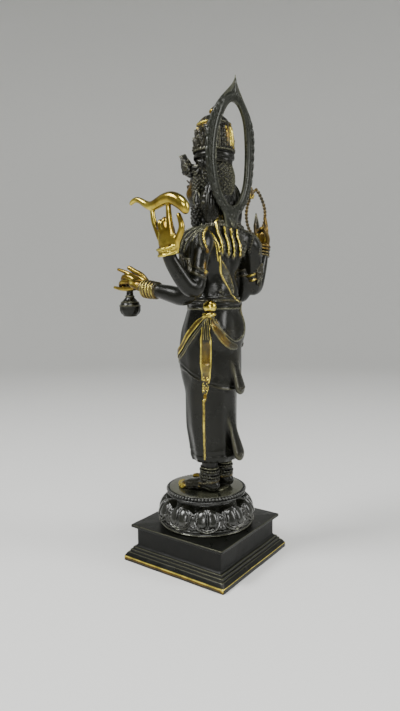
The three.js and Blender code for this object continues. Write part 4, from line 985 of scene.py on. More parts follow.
def build_head(F):
    # skull and face
    F.egg((0, 5.2, 370), (16.4, 19.4, 21.0))
    F.egg((0, -2.4, 360), (13.2, 13.6, 12.0), k=4)
    F.egg((0, -9.4, 353.4), (6.2, 6.2, 5.0), k=4)
    for s in (1, -1):
        F.egg((s * 8.0, -7.6, 362.2), (6.2, 6.0, 6.4), k=4)
        F.egg((s * 6.5, -15.6, 370.2), (4.6, 2.6, 3.2), k=2.2, cut=True)
        F.egg((s * 6.5, -12.2, 369.6), (3.7, 2.5, 2.2), k=0.7)
        lid = spline([(s * 2.9, -13.6, 369.0), (s * 4.8, -14.9, 370.7), (s * 7.2, -14.7, 370.9), (s * 9.9, -12.5, 369.2)], 12)
        F.tube(lid, 0.62, k=0.5)
        low = spline([(s * 3.0, -13.7, 368.8), (s * 5.0, -14.6, 367.9), (s * 7.4, -14.2, 367.9), (s * 9.8, -12.5, 368.9)], 12)
        F.tube(low, 0.45, k=0.5)
        brow = spline([(s * 2.2, -15.0, 373.8), (s * 5.4, -15.4, 375.6), (s * 9.0, -13.6, 375.6), (s * 12.4, -10.4, 373.4)], 14)
        F.tube(brow, np.linspace(0.85, 0.45, 14), k=0.9)
        F.egg((s * 2.0, -16.4, 362.6), (1.7, 2.0, 1.5), k=0.8)
        F.egg((s * 1.3, -18.0, 361.4), (0.7, 1.0, 0.5), k=0.3, cut=True)
        # ear, long lobe
        F.tube(spline([(s * 15.4, 2.4, 374.5), (s * 17.6, 5.6, 377), (s * 18.2, 8.0, 372.5), (s * 17.6, 6.8, 366), (s * 17.0, 4.2, 361), (s * 17.4, 3.4, 355)], 22), 1.35, k=0.8)
        F.egg((s * 16.4, 4.8, 370), (1.6, 3.0, 5.4), k=1)
    F.tube(spline([(0, -14.0, 374.0), (0, -15.4, 370), (0, -17.0, 366.2), (0, -18.4, 363.4)], 14), np.linspace(1.2, 2.0, 14), k=1.5)
    F.ball((0, -18.0, 363.2), 2.1, k=1.0)
    F.tube(spline([(-4.3, -14.2, 357.6), (-1.5, -16.1, 358.6), (0, -16.2, 358.1), (1.5, -16.1, 358.6), (4.3, -14.2, 357.6)], 18), [0.5] + [0.95] * 16 + [0.5], k=0.6)
    F.tube(spline([(-3.8, -14.2, 357.0), (0, -15.9, 355.7), (3.8, -14.2, 357.0)], 16), [0.5] + [1.15] * 14 + [0.5], k=0.6)
    F.tube(spline([(-4.8, -14.6, 357.4), (0, -17.6, 357.0), (4.8, -14.6, 357.4)], 16), 0.35, k=0.4, cut=True)

    # hair gathered under the crown, bound with a net
    def net(X, Y, Z):
        x, y, z = X, Y - 12.0, Z - 374.0
        k0 = np.sqrt((x / 19.2) ** 2 + (y / 19.4) ** 2 + (z / 24.6) ** 2)
        k1 = np.sqrt((x / 19.2 ** 2) ** 2 + (y / 19.4 ** 2) ** 2 + (z / 24.6 ** 2) ** 2)
        d = k0 * (k0 - 1) / (k1 + 1e-6)
        t = np.arctan2(y, x)
        v = z / 24.6
        wob = 0.35 * np.sin(5 * t + 9 * v)
        a = np.cos(23 * t + 36 * v + wob)
        b = np.cos(23 * t - 36 * v - wob)
        cord = np.maximum(np.exp((a - 1) * 5.6), np.exp((b - 1) * 5.6))
        knot = np.exp((a - 1) * 4) * np.exp((b - 1) * 4)
        # small six-petalled flowers fill the cells of the upper part
        flower = np.exp((-a - 1) * 3) * np.exp((-b - 1) * 3) * smooth01(v, 0.1, 0.4)
        return d - 1.7 * cord - 0.5 * knot - 1.1 * flower + 0.75
    F.put(net, (-21, -9, 348), (21, 33, 400), k=1.0, gold=0.08)
    F.tube(spline([(0, 17, 354), (0, 20, 340), (0, 21.5, 326)], 12), np.interp(np.linspace(0, 1, 12), [0, 0.5, 1], [10.4, 8.4, 9.4]), k=3)
    # loose hair under the net, widening behind the ears, combed in fine
    # slanting lines

    def loose(X, Y, Z):
        x, y, z = X, Y - 16.6, Z - 350.5
        k0 = np.sqrt((x / 26.0) ** 2 + (y / 10.6) ** 2 + (z / 21.5) ** 2)
        k1 = np.sqrt((x / 26.0 ** 2) ** 2 + (y / 10.6 ** 2) ** 2 + (z / 21.5 ** 2) ** 2)
        d = k0 * (k0 - 1) / (k1 + 1e-6)
        lines = np.cos(2 * np.pi * (0.34 * np.abs(x) - 0.2 * z + 0.25 * np.sin(0.35 * z)))
        cross = np.cos(2 * np.pi * (0.2 * np.abs(x) + 0.26 * z)) * smooth01(z, -6, 8)
        return d - 0.75 * np.exp((lines - 1) * 1.6) - 0.35 * np.exp((cross - 1) * 2.4) + 0.3
    F.put(loose, (-28, 4, 327), (28, 28.6, 374), k=1.2, gold=0.05)
    for s in (1, -1):
        P, R = spline([(s * 14, 18.5, 373), (s * 21.5, 20.4, 366), (s * 24.6, 21.0, 357), (s * 25.2, 21.0, 347), (s * 24.4, 20.4, 337), (s * 21, 20, 329)], 30, [3.6, 4.8, 5.5, 5.7, 5.4, 4.6])
        if s > 0:
            P, R = P - arr([3.6, 0.6, 0]), R * 0.78
        F.tube(P, R, k=0.8, twist=(9, 52, 0.11))
        P, R = spline([(s * 10, 17.5, 371), (s * 16.0, 20.6, 363), (s * 17.6, 21.6, 352), (s * 17.2, 21.6, 341), (s * 16, 21.0, 331)], 30, [3.4, 4.6, 5.4, 5.4, 4.6])
        F.tube(P, R, k=0.8, twist=(8, -48, 0.11))
    # granular ornament behind and under each ear, closed against the neck
    for s in (1, -1):
        path = [(s * 17.4, 5.4, 379), (s * 18.4, 4.8, 368), (s * 19.4, 4.8, 358), (s * 20.0, 5.2, 349), (s * 20.4, 5.6, 339), (s * 20.8, 5.8, 329.5)]
        P, R = spline(path, 40, [3.4, 4.2, 4.4, 4.6, 5.2, 4.4])
        F.tube(P, R * 0.84, k=0.8)
        F.tube([(s * 10, 8, 352), (s * 13, 8, 340), (s * 15, 8, 330)], [7.4, 6.4, 6.0], k=2.5)
        L = length(P)
        f = 0.0
        i = 0
        while f < 1:
            fine = 1.0 if f < 0.36 else 1.45
            if not 0.36 < f < 0.6:
                q = arr([np.interp(f, np.linspace(0, 1, 40), P[:, j]) for j in range(3)])
                r = float(np.interp(f, np.linspace(0, 1, 40), R))
                w = unit(P[min(39, int(f * 38) + 1)] - P[int(f * 38)])
                u = unit(np.cross(w, [0.2, 1, 0.1]))
                v = np.cross(w, u)
                ang = i * 2.39996
                F.ball(q + (u * math.cos(ang) + v * math.sin(ang)) * r * 0.9, fine, k=0.3, gold=0.1)
            i += 1
            f += (0.26 if fine == 1.0 else 0.42) / L
        # drop-shaped leaf with smooth lines between the two beaded parts
        o = unit((s * 0.75, 0.66, 0))
        F.leaf(arr([s * 19.2, 5.0, 346.0]) + o * 3.0, o, 9.0, 17, 3.6, k=0.5, gold=0.05, lean=-0.04, veins=0, curl=0.0)
        for j in (-1, 1):
            side = np.cross(o, [0, 0, 1])
            F.tube(spline([arr([s * 19.2, 5.0, 346.6]) + o * 4.6 + side * j * 0.6, arr([s * 19.0, 5.0, 352]) + o * 4.9 + side * j * 3.4, arr([s * 18.8, 5.0, 361]) + o * 3.8 + side * j * 1.2], 12), 0.6, k=0.35)
        # flower over the ear
        c = arr([s * 21.0, -4.0, 384.4])
        o = unit((s * 0.94, -0.3, 0.05))
        side = unit(np.cross(o, [0, 0, 1]))
        up = np.cross(side, o)
        F.tube([c - o * 6, c - o * 0.4], [4.2, 3.8], k=0.8, flat=(1, 1), gold=0.05)
        for i in range(7):
            a = 2 * math.pi * (i + 0.25) / 7
            d = side * math.cos(a) + up * math.sin(a)
            F.egg(c + o * 0.9 + d * 4.7, (2.4, 2.0, 2.0), k=0.2, gold=0.12, axes=[d, o, np.cross(d, o)])
            F.ball(c + o * 1.9 + d * 6.6, 0.9, k=0.2, gold=0.15)
            e = side * math.cos(a + 0.45) + up * math.sin(a + 0.45)
            F.ball(c + o * 2.5 + e * 2.7, 0.95, k=0.15, gold=0.15)
        F.ball(c + o * 2.4, 1.7, k=0.3, gold=0.25)
        # a second flower and a hanging leaf further back
        c = arr([s * 18.6, 11.4, 386.6])
        o = unit((s * 0.8, 0.6, 0.05))
        side = unit(np.cross(o, [0, 0, 1]))
        up = np.cross(side, o)
        F.tube([c - o * 5, c + o * 0.2], [4.4, 4.0], k=0.8, flat=(1, 1))
        for i in range(6):
            a = 2 * math.pi * (i + 0.5) / 6
            d = side * math.cos(a) + up * math.sin(a)
            F.egg(c + o * 0.8 + d * 3.3, (2.1, 1.3, 1.7), k=0.3, gold=0.1, axes=[d, o, np.cross(d, o)])
        F.ball(c + o * 1.8, 1.4, k=0.3, gold=0.15)
        for j in (-1, 0, 1):
            d = unit(side * (0.55 * j) + arr([0, 0, -1]))
            F.egg(c + o * 0.4 + d * 8.0, (5.0 - abs(j), 1.2, 1.6), k=0.4, gold=0.08, axes=[d, o, np.cross(d, o)])
            F.ball(c + o * 0.6 + d * (12.6 - abs(j)), 1.0, k=0.3, gold=0.1)
        F.tube(spline([(s * 13.2, 15.0, 352), (s * 15.5, 12, 345.6), (s * 14.4, 4, 345.2)], 14), 0.7, k=0.5)


def build_crown(F):
    cx, cy = 0.0, 12.0
    # foot of the crown: smooth rolled band with a dark groove

    def scales(t, z, r):
        # columns of overlapping pointed scales between smooth ribs, on the drum
        u = t * 14 / (2 * np.pi)
        v = (z - 401) / 4.6
        u2 = np.mod(u, 1.0) - 0.5
        v2 = np.mod(v, 1.0)
        scale = (1 - v2) * 0.9 * (1 - (2 * np.abs(u2)) ** 2) * (v2 > 0.5 * np.abs(u2) * 2 * 0.3)
        rib = np.exp(-((np.abs(u2) - 0.5) / 0.09) ** 2) * 0.9
        body = smooth01(z - 401.5, 0, 1.5) * smooth01(422.5 - z, 0, 1.5)
        return (scale + rib) * body

    F.lathe([(388, 17.4), (390.8, 17.8), (391.7, 17.5), (392.3, 19.0), (393.4, 19.6), (396.0, 19.5), (396.9, 18.8), (397.7, 17.8), (399.2, 18.6), (401, 18.4),
             (404, 17.6), (413, 17.6), (420, 16.4), (423.4, 15.2)], (cx, cy), k=0.3, gold=0.0, relief=scales, reach=2.4)
    F.lathe([(423, 15.0), (424.4, 15.9), (425.6, 15.6), (426.3, 14.2), (427.2, 13.6), (429.0, 12.6), (431.0, 10.4), (432.6, 7.4), (433.6, 4.0), (434.6, 3.4),
             (436.2, 4.6), (437.8, 4.6), (439.4, 3.2), (440.8, 1.6), (441.8, 0.4)], (cx, cy), k=0.3, gold=0.0, reach=1.0,
            relief=lambda t, z, r: 0.35 * np.cos(16 * t) * smooth01(z - 427, 0, 1) * smooth01(433 - z, 0, 2))
    for z, r, b in ((399.4, 19.2, 1.15), (424.6, 15.9, 0.9)):
        loop = [(cx + r * math.cos(a), cy + r * math.sin(a), z) for a in np.linspace(0, 2 * math.pi, 60)]
        F.beads(loop, b, gap=1.9, k=0.2, gold=0.15, closed=True)
    # tiers of upright leaves, each with a row of pearls at its foot
    for i in range(14):
        a = -math.pi / 2 + i * math.pi / 7
        if math.sin(a) > 0.72:
            continue
        big = 1.22 if i == 0 else 1.0
        o = arr([math.cos(a), math.sin(a), 0])
        F.leaf(arr([cx, cy, 400.4]) + o * 17.4, o, 7.8 * big, 12 * big, 3.8, gold=0.1, lean=0.03, curl=0.25)
        F.ball(arr([cx, cy, 402.6]) + o * 20.2, 1.3, k=0.3, gold=0.15)
    for i in range(14):
        a = -math.pi / 2 + (i + 0.5) * math.pi / 7
        if math.sin(a) > 0.6:
            continue
        o = arr([math.cos(a), math.sin(a), 0])
        F.leaf(arr([cx, cy, 408.5]) + o * 16.8, o, 7.0, 12, 3.4, gold=0.14, lean=-0.06, curl=0.2)
        F.ball(arr([cx, cy, 410.6]) + o * 19.0, 1.1, k=0.3, gold=0.2)
    for i in range(10):
        a = -math.pi / 2 + i * math.pi / 5
        if math.sin(a) > 0.6:
            continue
        o = arr([math.cos(a), math.sin(a), 0])
        F.leaf(arr([cx, cy, 417.0]) + o * 15.2, o, 6.4, 9.5, 3.0, gold=0.3, lean=-0.34, curl=0.12)
    F.leaf((0, cy - 16.6, 410.5), (0, -1, 0), 12.5, 20, 4.6, gold=0.95, lean=-0.3, curl=0.1)
    for s in (1, -1):
        F.leaf(arr([cx, cy, 412]) + arr([s * 0.62, -0.78, 0]) * 16.0, (s * 0.62, -0.78, 0), 9.5, 17, 4.0, gold=0.95, lean=-0.3, curl=0.1)
        # upright rib and a row of knobs at the back corners of the drum
        g = 1.0 if s < 0 else 0.3
        for t, w in ((82, 1.2), (100, 1.5), (130, 1.0)):
            a = math.radians(t if s < 0 else 180 - t)
            o = arr([math.cos(a), math.sin(a), 0])
            up = [arr([cx, cy, z]) + o * (r + 0.4) for z, r in ((402, 18.2), (408, 18.1), (414, 17.7), (419, 16.8), (423.6, 15.2))]
            F.tube(spline(up, 24), w, k=0.3, gold=g * (0.5 if t == 82 else 1))
        for t, w in ((91, 1.3), (115, 3.2)):
            a = math.radians(t if s < 0 else 180 - t)
            o = arr([math.cos(a), math.sin(a), 0])
            side = np.cross(o, [0, 0, 1])
            for i, z in enumerate(np.arange(403, 422, 4.2)):
                q = arr([cx, cy, z]) + o * (18.1 - 0.006 * (z - 402) ** 2)
                F.egg(q, (w, 1.7, 2.5), k=0.35, gold=0.1 if t == 91 else g, axes=[side, unit(o + arr([0, 0, 0.25])), unit(arr([0, 0, 1]) - o * 0.25)])
    # diadem over the brow: beaded bands, a tall middle crest and side leaves
    for z, w in ((380.4, 1.0), (385.6, 1.0)):
        loop = spline([(17.9 * math.cos(a), 5 + 21.2 * math.sin(a), z) for a in np.linspace(math.pi * 0.98, math.pi * 2.02, 20)], 60)
        F.beads(loop, w, gap=1.85, k=0.3, gold=0.15)
    loop = spline([(17.4 * math.cos(a), 5 + 20.8 * math.sin(a), 383) for a in np.linspace(math.pi * 0.96, math.pi * 2.04, 20)], 60)
    F.tube(loop, 2.2, k=0.5, gold=0.05)
    for i in range(13):
        a = math.pi * (1.06 + 0.88 * i / 12)
        q = arr([18.9 * math.cos(a), 5 + 22.4 * math.sin(a), 383])
        F.egg(q, (1.5, 1.5, 1.9), k=0.3, gold=0.15)
    F.leaf((0, -18.4, 383), (0, -1, 0), 17, 21, 5.6, gold=0.15, lean=0.1)
    c = arr([0, -21.6, 391])
    for i in range(10):
        a = 2 * math.pi * i / 10
        d = arr([math.cos(a), 0, math.sin(a)])
        F.egg(c + d * 4.8, (2.6, 1.6, 1.5), k=0.4, gold=0.2, axes=[d, (0, 1, 0), np.cross(d, (0, 1, 0))])
    F.ball(c + arr([0, -1.2, 0]), 2.6, k=0.4, gold=0.35)
    for s in (1, -1):
        F.leaf((s * 12.6, -12.4, 383.5), (s * 0.66, -0.75, 0), 11, 15, 4.6, gold=0.12, lean=0.12)


def build_hair_and_jewels(F):
    # hair under the locks, joining the nape to the shoulders
    F.egg((-2.5, 22.5, 327.5), (25, 7.5, 6.5), k=4)
    # locks spread over the back of the shoulders: a smooth strand between two
    # beaded ones, curled at the end
    ends = ((17.5, 304), (8.5, 302.5), (-1.5, 302), (-12, 303.5), (-18.5, 305.5), (-24, 309.5))
    shine = (1.0, 0.95, 1.0, 1.0, 0.2, 0.3)
    for x0, (x1, z1), g in zip((20.5, 10.5, 0.5, -10.5, -19, -27), ends, shine):
        def at(f, y, z):
            return (x0 + (x1 - x0) * f, y, z)
        edge = 0.006 * x0 * x0
        pts = [(x0 * 0.5, 24.6, 337), (x0 * 0.86, 27.0 - edge * 0.4, 332), at(0.1, 29.4 - edge * 0.7, 326.6), at(0.45, 31.6 - edge * 0.8, 318.6), at(0.8, 32.8 - edge * 0.6, (318 + z1) / 2), at(1.0, 32.7 - edge * 0.5, z1)]
        P = spline(pts, 48)
        P[8:] = 0.5 * P[8:] + 0.5 * F.snap(P[8:], 0.9)
        tang = np.gradient(P, axis=0)
        tang /= np.linalg.norm(tang, axis=1)[:, None]
        side = np.cross(tang, arr([0, 0.8, 0.6]))
        side /= np.linalg.norm(side, axis=1)[:, None]
        out = np.cross(side, tang)
        fade = np.interp(np.linspace(0, 1, 48), [0, 0.2, 0.9, 1], [0.75, 1, 1, 0.8])
        F.tube(P, 2.3 * fade, k=0.6, gold=0.0)
        if g > 0.5:
            F.tube(P + out * 1.6 + side * 1.3 * fade[:, None], 1.0 * fade, k=0.15, gold=g * 0.76, twist=(2, 4.4, 0.26))
        else:
            F.tube(P + out * 1.5 + side * 1.3 * fade[:, None], 1.25 * fade, k=0.15, gold=g, twist=(2, 3.4, 0.34))
        F.tube(P + out * 1.5 - side * 1.6 * fade[:, None], 1.2 * fade, k=0.15, gold=g * 0.3, twist=(2, 3.4, 0.34))
        s = 1 if x0 > 0 else -1
        F.ring(P[-1] + arr([s * 0.9, 0.5, -0.8]), (0, 1, 0.1), 1.7, 1.0, k=0.35, gold=g * 0.35)
        F.ball(P[-1] + arr([s * 1.0, 1.0, -0.9]), 1.0, k=0.3, gold=g * 0.35)
    # collar and necklaces
    for z0, a0, sag, r, g in ((333.6, 12.2, 4, 1.3, 0.2), (331.0, 15.0, 11, 1.7, 0.2), (329.6, 18.6, 17, 1.35, 0.15)):
        pts = []
        for t in np.linspace(0, 2 * math.pi, 60):
            front = (1 - math.sin(t)) / 2
            pts.append((a0 * math.cos(t) * (1 + 0.2 * front), 12.2 + a0 * math.sin(t), z0 - sag * front * front))
        P = F.settle(arr(pts)[:-1], 0.5, axis=(0, 12), start=40)
        P = np.vstack([P, P[:1]])
        F.beads(P, r, gap=1.8, k=0.3, gold=g, closed=True)
    # row of hanging drops round the collar and a pendant on the chest
    for i in range(15):
        t = math.radians(270 + (i - 7) * 9.6)
        front = (1 - math.sin(t)) / 2
        p = F.settle(arr([[20 * math.cos(t), 12 + 20 * math.sin(t), 327.5 - 17 * front ** 2 - 3.5]]), 0.4, axis=(0, 12), start=40)[0]
        F.egg(p, (1.5, 1.4, 2.6), k=0.4, gold=0.2)
    p = F.settle(arr([[0.01, -8, 302.5]]), 1.0, axis=(0, 12), start=40)[0]
    F.egg(p, (4.2, 2.2, 4.8), k=0.5, gold=0.3)
    for i in range(8):
        a = 2 * math.pi * i / 8
        F.ball(p + arr([4.2 * math.cos(a), -0.6, 4.6 * math.sin(a)]), 1.1, k=0.3, gold=0.3)
    # girdle under the chest
    for z, r in ((286.4, 0.9), (283.6, 0.9)):
        P = F.settle(arr([(25 * math.cos(t), 13 + 17 * math.sin(t), z) for t in np.linspace(math.pi * 1.04, math.pi * 1.96, 50)]), 0.2, axis=(0, 13), start=40)
        F.tube(P, r, k=0.4, gold=0.12)


def build_shoulder_strings(F):
    """Strings of beads over the shoulders, laid on the arms."""
    def string(pts, r, gold, beads=True, gap=2.0):
        P = F.snap(spline(pts, 40), 0.5, toward=(0, 14, 300))
        if beads:
            F.beads(P, r, gap=gap, k=0.1, gold=gold)
        else:
            F.tube(P, r, k=0.3, gold=gold)
    string([(30, 24, 327), (39.6, 29.9, 323.8), (48.5, 33.1, 318), (51, 35.4, 312.9), (51.4, 37.4, 309), (50.6, 38.4, 305)], 1.35, 0.75)
    string([(33, 24.6, 326.4), (44.8, 28.7, 322.5), (49.7, 30.2, 318.1), (52.3, 31.6, 314), (53.6, 33.7, 310), (53.6, 35.6, 305.6)], 1.15, 0.2)
    string([(23.7, 19.4, 329.6), (39.8, 20.9, 326), (45.6, 17.8, 321.8), (50.7, 15.3, 317.1), (53.3, 13.5, 311.2), (54.3, 12.9, 306.3)], 0.9, 0.1)
    string([(26.2, 21.8, 327.1), (44.2, 26.5, 323.2), (47.3, 22, 319.8), (50.8, 19, 314.9), (53.6, 17.4, 309), (54.8, 16.3, 303.2)], 0.9, 0.1)
    string([(34, 27, 326), (42.4, 30.1, 323.1), (48, 27.4, 320.4), (50.7, 25.3, 316.5), (51.9, 24.1, 312.6)], 0.9, 0.1)
    string([(24, 14, 331), (38, 13.4, 325), (44.6, 10.4, 320), (49, 8.6, 313.4)], 0.9, 0.1)
    string([(-30, 22, 328), (-36, 25.6, 325), (-37.5, 29.4, 321.6), (-34.7, 32.8, 318.4), (-32.7, 32.9, 313.4), (-32.1, 31.6, 309.7)], 1.35, 0.3)
    string([(-30, 22, 330), (-41, 26.5, 325), (-45.4, 31.4, 318), (-44.6, 34.6, 311), (-43.4, 35.4, 306)], 1.15, 0.2)
    for z0, y0 in ((24, 14), (21, 19)):
        string([(-z0, y0, 331), (-38, y0 - 1, 327), (-45, y0 - 4, 321), (-50, y0 - 6, 313)], 0.9, 0.1)
    for c, g in (((50.4, 38.6, 303.4), 0.6), ((-32.0, 31.4, 307.6), 0.3)):
        q = F.snap(arr([c]), 0.4)[0]
        F.egg(q, (1.9, 1.5, 2.5), k=0.4, gold=g)


def figure_gold(V, N, gold, hollow, ridge):
    x, y, z = V.T
    g = gold.copy()

    def spot(c, r, w):
        q = ((x - c[0]) / r[0]) ** 2 + ((y - c[1]) / r[1]) ** 2 + ((z - c[2]) / r[2]) ** 2
        return w * np.exp(-q)
    # toes rubbed bright, fading up the foot
    g = np.maximum(g, 0.95 * smooth01(-y, 6, 15) * smooth01(84 - z, 0, 8))
    # cheek and ear on the left; outer edge of the rear upper arm, partly rubbed gold and partly a painted highlight
    # along that edge; crown, cloth
    g = np.maximum(g, spot((14, -9, 366), (6, 6, 13), 0.9))
    g = np.maximum(g, spot((51.6, 37.2, 288.5), (2.6, 3.2, 8.5), 1.0))
    around = np.degrees(np.arctan2(y - 12.0, x))
    reach = np.hypot(x, y - 12.0)
    back = smooth01(around, 62, 74) * (1 - smooth01(around, 124, 142)) * smooth01(z, 400.6, 404.0) * (1 - smooth01(z, 418.5, 424.0)) * smooth01(reach, 13.5, 15.5)
    g = np.maximum(g, 1.15 * back * (0.55 + 0.45 * smooth01(ridge, 0.05, 0.4)))
    g = np.maximum(g, spot((11, 8, 425), (10, 9, 9.5), 1.25) * (0.5 + 0.5 * smooth01(ridge, 0.05, 0.4)))
    g = np.maximum(g, spot((2, 10, 439), (7, 7, 6.5), 1.35))
    g = np.maximum(g, spot((11.6, 34, 231), (6.5, 5, 3.2), 0.6))
    # hem ornament, locks and beads shine only on what stands out
    turn = np.degrees(np.arctan2(y - 9.0, x))
    low = smooth01(z, 208, 212) * (1 - smooth01(z, 236, 242)) * smooth01(np.hypot(x, y - 9.0), 16, 20)
    g = g * (1 - 0.55 * low * smooth01(turn, 54, 84) * (1 - smooth01(turn, 150, 160)))
    tail = smooth01(turn, 14, 20) * (1 - smooth01(turn, 38, 44)) * smooth01(z, 168, 172) * (1 - smooth01(z, 176, 204))
    g = np.where(g > 0.4, g - 0.05 * tail, g)
    worn = smooth01(ridge, 0.12, 0.6) * (1 - smooth01(hollow, 0.15, 0.5))
    g = g * (0.6 + 0.4 * np.clip(worn * 2 + 0.3, 0, 1)) * (1 - 0.6 * smooth01(hollow, 0.3, 0.8))
    # the face stays evenly dark
    ridge *= 1 - 0.8 * smooth01(-y, 7, 10) * smooth01(z, 350, 354) * (1 - smooth01(z, 378, 380)) * (np.abs(x) < 15)
    return np.maximum(g, 0.1 * worn)


def build_figure():
    F = Field((-91, -77, SOLE - 2), (92, 45, 444), VOXEL)
    build_trunk(F)
    build_skirt(F)
    build_sashes(F)
    build_hair_and_jewels(F)
    build_legs(F)
    build_arms(F)
    build_shoulder_strings(F)
    build_hands(F)
    build_head(F)
    build_crown(F)
    # seat of the halo's rib and root
    for lo, hi in (((-10.8, HALO_Y - 1.55, 327.7), (10.8, HALO_Y + 4.5, 359.7)), ((-17.4, HALO_Y - 2.75, 341.2), (17.4, HALO_Y + 4.5, 358.6))):
        lo, hi = arr(lo), arr(hi)

        def cube(X, Y, Z):
            return np.maximum(np.maximum(np.abs(X - (lo + hi)[0] / 2) - (hi - lo)[0] / 2, np.abs(Y - (lo + hi)[1] / 2) - (hi - lo)[1] / 2),
                              np.abs(Z - (lo + hi)[2] / 2) - (hi - lo)[2] / 2)
        F.put(cube, lo, hi, cut=True)
    return F


# -------------------------------------------------------------------- halo


def oval_width(z, foot, wide, top, w, k0, k1):
    z = arr(z)
    low = w * np.sqrt(np.maximum(0, 1 - ((wide - z) / (wide - foot)) ** 2))
    f = np.clip((z - wide) / (top - wide), 0, 1)
    return np.where(z <= wide, low, w * (1 - f * f) ** (k0 + k1 * f))


def oval_loop(foot, wide, top, w, k0, k1, half=120):
    z = foot + (top - foot) * (1 - np.cos(np.linspace(0, np.pi, half + 1))) / 2
    x = oval_width(z, foot, wide, top, w, k0, k1)
    x[0] = x[-1] = 0
    return np.vstack([np.column_stack([x, z]), np.column_stack([-x[-2:0:-1], z[-2:0:-1]])])


def near_loop(X, Z, loop):
    """Distance from each (x, z) to a closed loop, and how far along it."""
    best = np.full(X.shape, 1e9)
    s = np.zeros(X.shape)
    run = 0.0
    for i in range(len(loop)):
        a, b = loop[i], loop[(i + 1) % len(loop)]
        ab = b - a
        L = math.hypot(*ab)
        t = np.clip(((X - a[0]) * ab[0] + (Z - a[1]) * ab[1]) / (L * L), 0, 1)
        d = np.hypot(X - a[0] - t * ab[0], Z - a[1] - t * ab[1])
        m = d < best
        best = np.where(m, d, best)
        s = np.where(m, run + t * L, s)
        run += L
    return best, s, run


def halo_lean(z):
    up = np.maximum(0.0, z - HALO_BEND)
    return HALO_LEAN * up * up / (up + 10.0) + 0.8 * np.exp(-((z - 431.0) / 14.0) ** 2)


def build_halo():
    F = Field((-43, 26, ROOT_FOOT - 2), (43, 41, 467), FINE)
    x = F.ax[0][:, None].astype(float)
    z = F.ax[2][None, :].astype(float)
    X, Z = np.broadcast_arrays(x, z)
    do, so, run = near_loop(X, Z, oval_loop(*HALO_OUTER))
    di, si, _ = near_loop(X, Z, oval_loop(*HALO_INNER))
    do = np.where(np.abs(X) < oval_width(Z, *HALO_OUTER) * ((Z > HALO_OUTER[0]) & (Z < HALO_OUTER[2])), do, -do)   # inside +
    di = np.where(np.abs(X) < oval_width(Z, *HALO_INNER) * ((Z > HALO_INNER[0]) & (Z < HALO_INNER[2])), -di, di)   # outside the opening +
    # lobes along the outer edge: full at the lower sides, fading out above
    lobes = 40
    wave = np.abs(np.cos(np.pi * lobes * so / run)) ** 0.7
    strong = (1 - smooth01(Z, 420, 446)) * smooth01(np.abs(X), 6, 13)
    edge = do - 1.05 * (1 - wave) * strong + 0.35 * smooth01(Z, 456, 463)
    plan = np.maximum(-edge, -di)
    # half thickness, from the opening outwards: thin lip, groove, broad rounded
    # rib, groove, narrow line, lobes
    plate = 0.95 - 0.55 * (1 - smooth01(do, 0.0, 1.6)) + 0.15 * smooth01(do, 1.5, 5)
    rib = 1.45 * np.sqrt(np.clip(1 - ((di - 4.8) / 3.5) ** 2, 0, 1))
    lip = 0.5 * np.exp(-((di - 0.62) / 0.5) ** 2)
    lobe = strong * 1.55 * np.sqrt(np.clip(1 - ((do - 2.3) / 2.3) ** 2, 0, 1)) * wave
    line = 0.14 * np.exp(-((di - 9.0) / 0.5) ** 2) * smooth01(do, 3.0, 4.5)
    upper = smooth01(Z, 420, 440)
    fine = 0.38 * upper * np.exp(-((do - 0.75) / 0.42) ** 2)
    half = plate + rib + lip + lobe + line + fine
    # bud with two side leaves and a stem under the tip
    bud = 1.15 * np.sqrt(np.clip(1 - (X / 2.7) ** 2 - ((Z - 451.0) / 6.2) ** 2, 0, 1))
    for s in (1, -1):
        u, v = X - s * 4.6, Z - 448.6
        a, b = u * 0.86 + s * v * 0.5, v * 0.86 - s * u * 0.5
        bud = np.maximum(bud, 0.75 * np.sqrt(np.clip(1 - (a / 1.6) ** 2 - (b / 5.0) ** 2, 0, 1)))
    stem = 0.5 * np.exp(-(X / 0.8) ** 2) * smooth01(Z, 455, 458)
    half = half + bud + stem
    half = np.minimum(half, 0.42 + 0.95 * np.maximum(do, 0))
    y0 = HALO_Y + halo_lean(Z)
    dy = F.ax[1][None, :, None].astype(float) - y0[:, None, :]
    F.d[:] = np.maximum(plan[:, None, :], np.abs(dy) - half[:, None, :]).astype(np.float32)

    # root that widens into the ring, fuller behind, with a few scales
    def root(X, Y, Z):
        w = np.interp(Z, [ROOT_FOOT, 333, 339, 346, 350], [ROOT_HALF_W - 0.4, ROOT_HALF_W, 12.4, 16.6, 16.6])
        y = Y - HALO_Y
        t = 1 - (np.abs(X) / (w + 0.3)) ** 2.4
        back = (1.15 + 1.15 * smooth01(Z, ROOT_FOOT, 337) * (1 - smooth01(Z, 343, 351))) * np.maximum(t, 0) ** 0.5
        d = np.maximum(y - back, -1.2 * np.maximum(t, 0) ** 0.3 - y)
        return np.maximum(np.maximum(d, np.abs(X) - w), np.maximum(ROOT_FOOT - Z, Z - 347))
    F.put(root, (-17, 27, ROOT_FOOT), (17, 34.5, 347.5), k=1.2)
    for z, row in ((345.2, (-9.6, -3.2, 3.2, 9.6)), (340.6, (-6.2, 0, 6.2)), (336.2, (-3.0, 3.0)), (332.2, (0,))):
        for x in row:
            F.egg((x, HALO_Y + 1.75 - 0.012 * x * x, z), (3.1, 1.0, 3.2), k=0.35, axes=[(1, 0, 0), (0, 1, 0.16), (0, -0.16, 1)])
    return F


def halo_gold(V, N, gold, hollow, ridge):
    worn = smooth01(ridge, 0.1, 0.6) * (1 - smooth01(hollow, 0.1, 0.4))
    return 0.1 * worn


# ---------------------------------------------------------------- pedestal


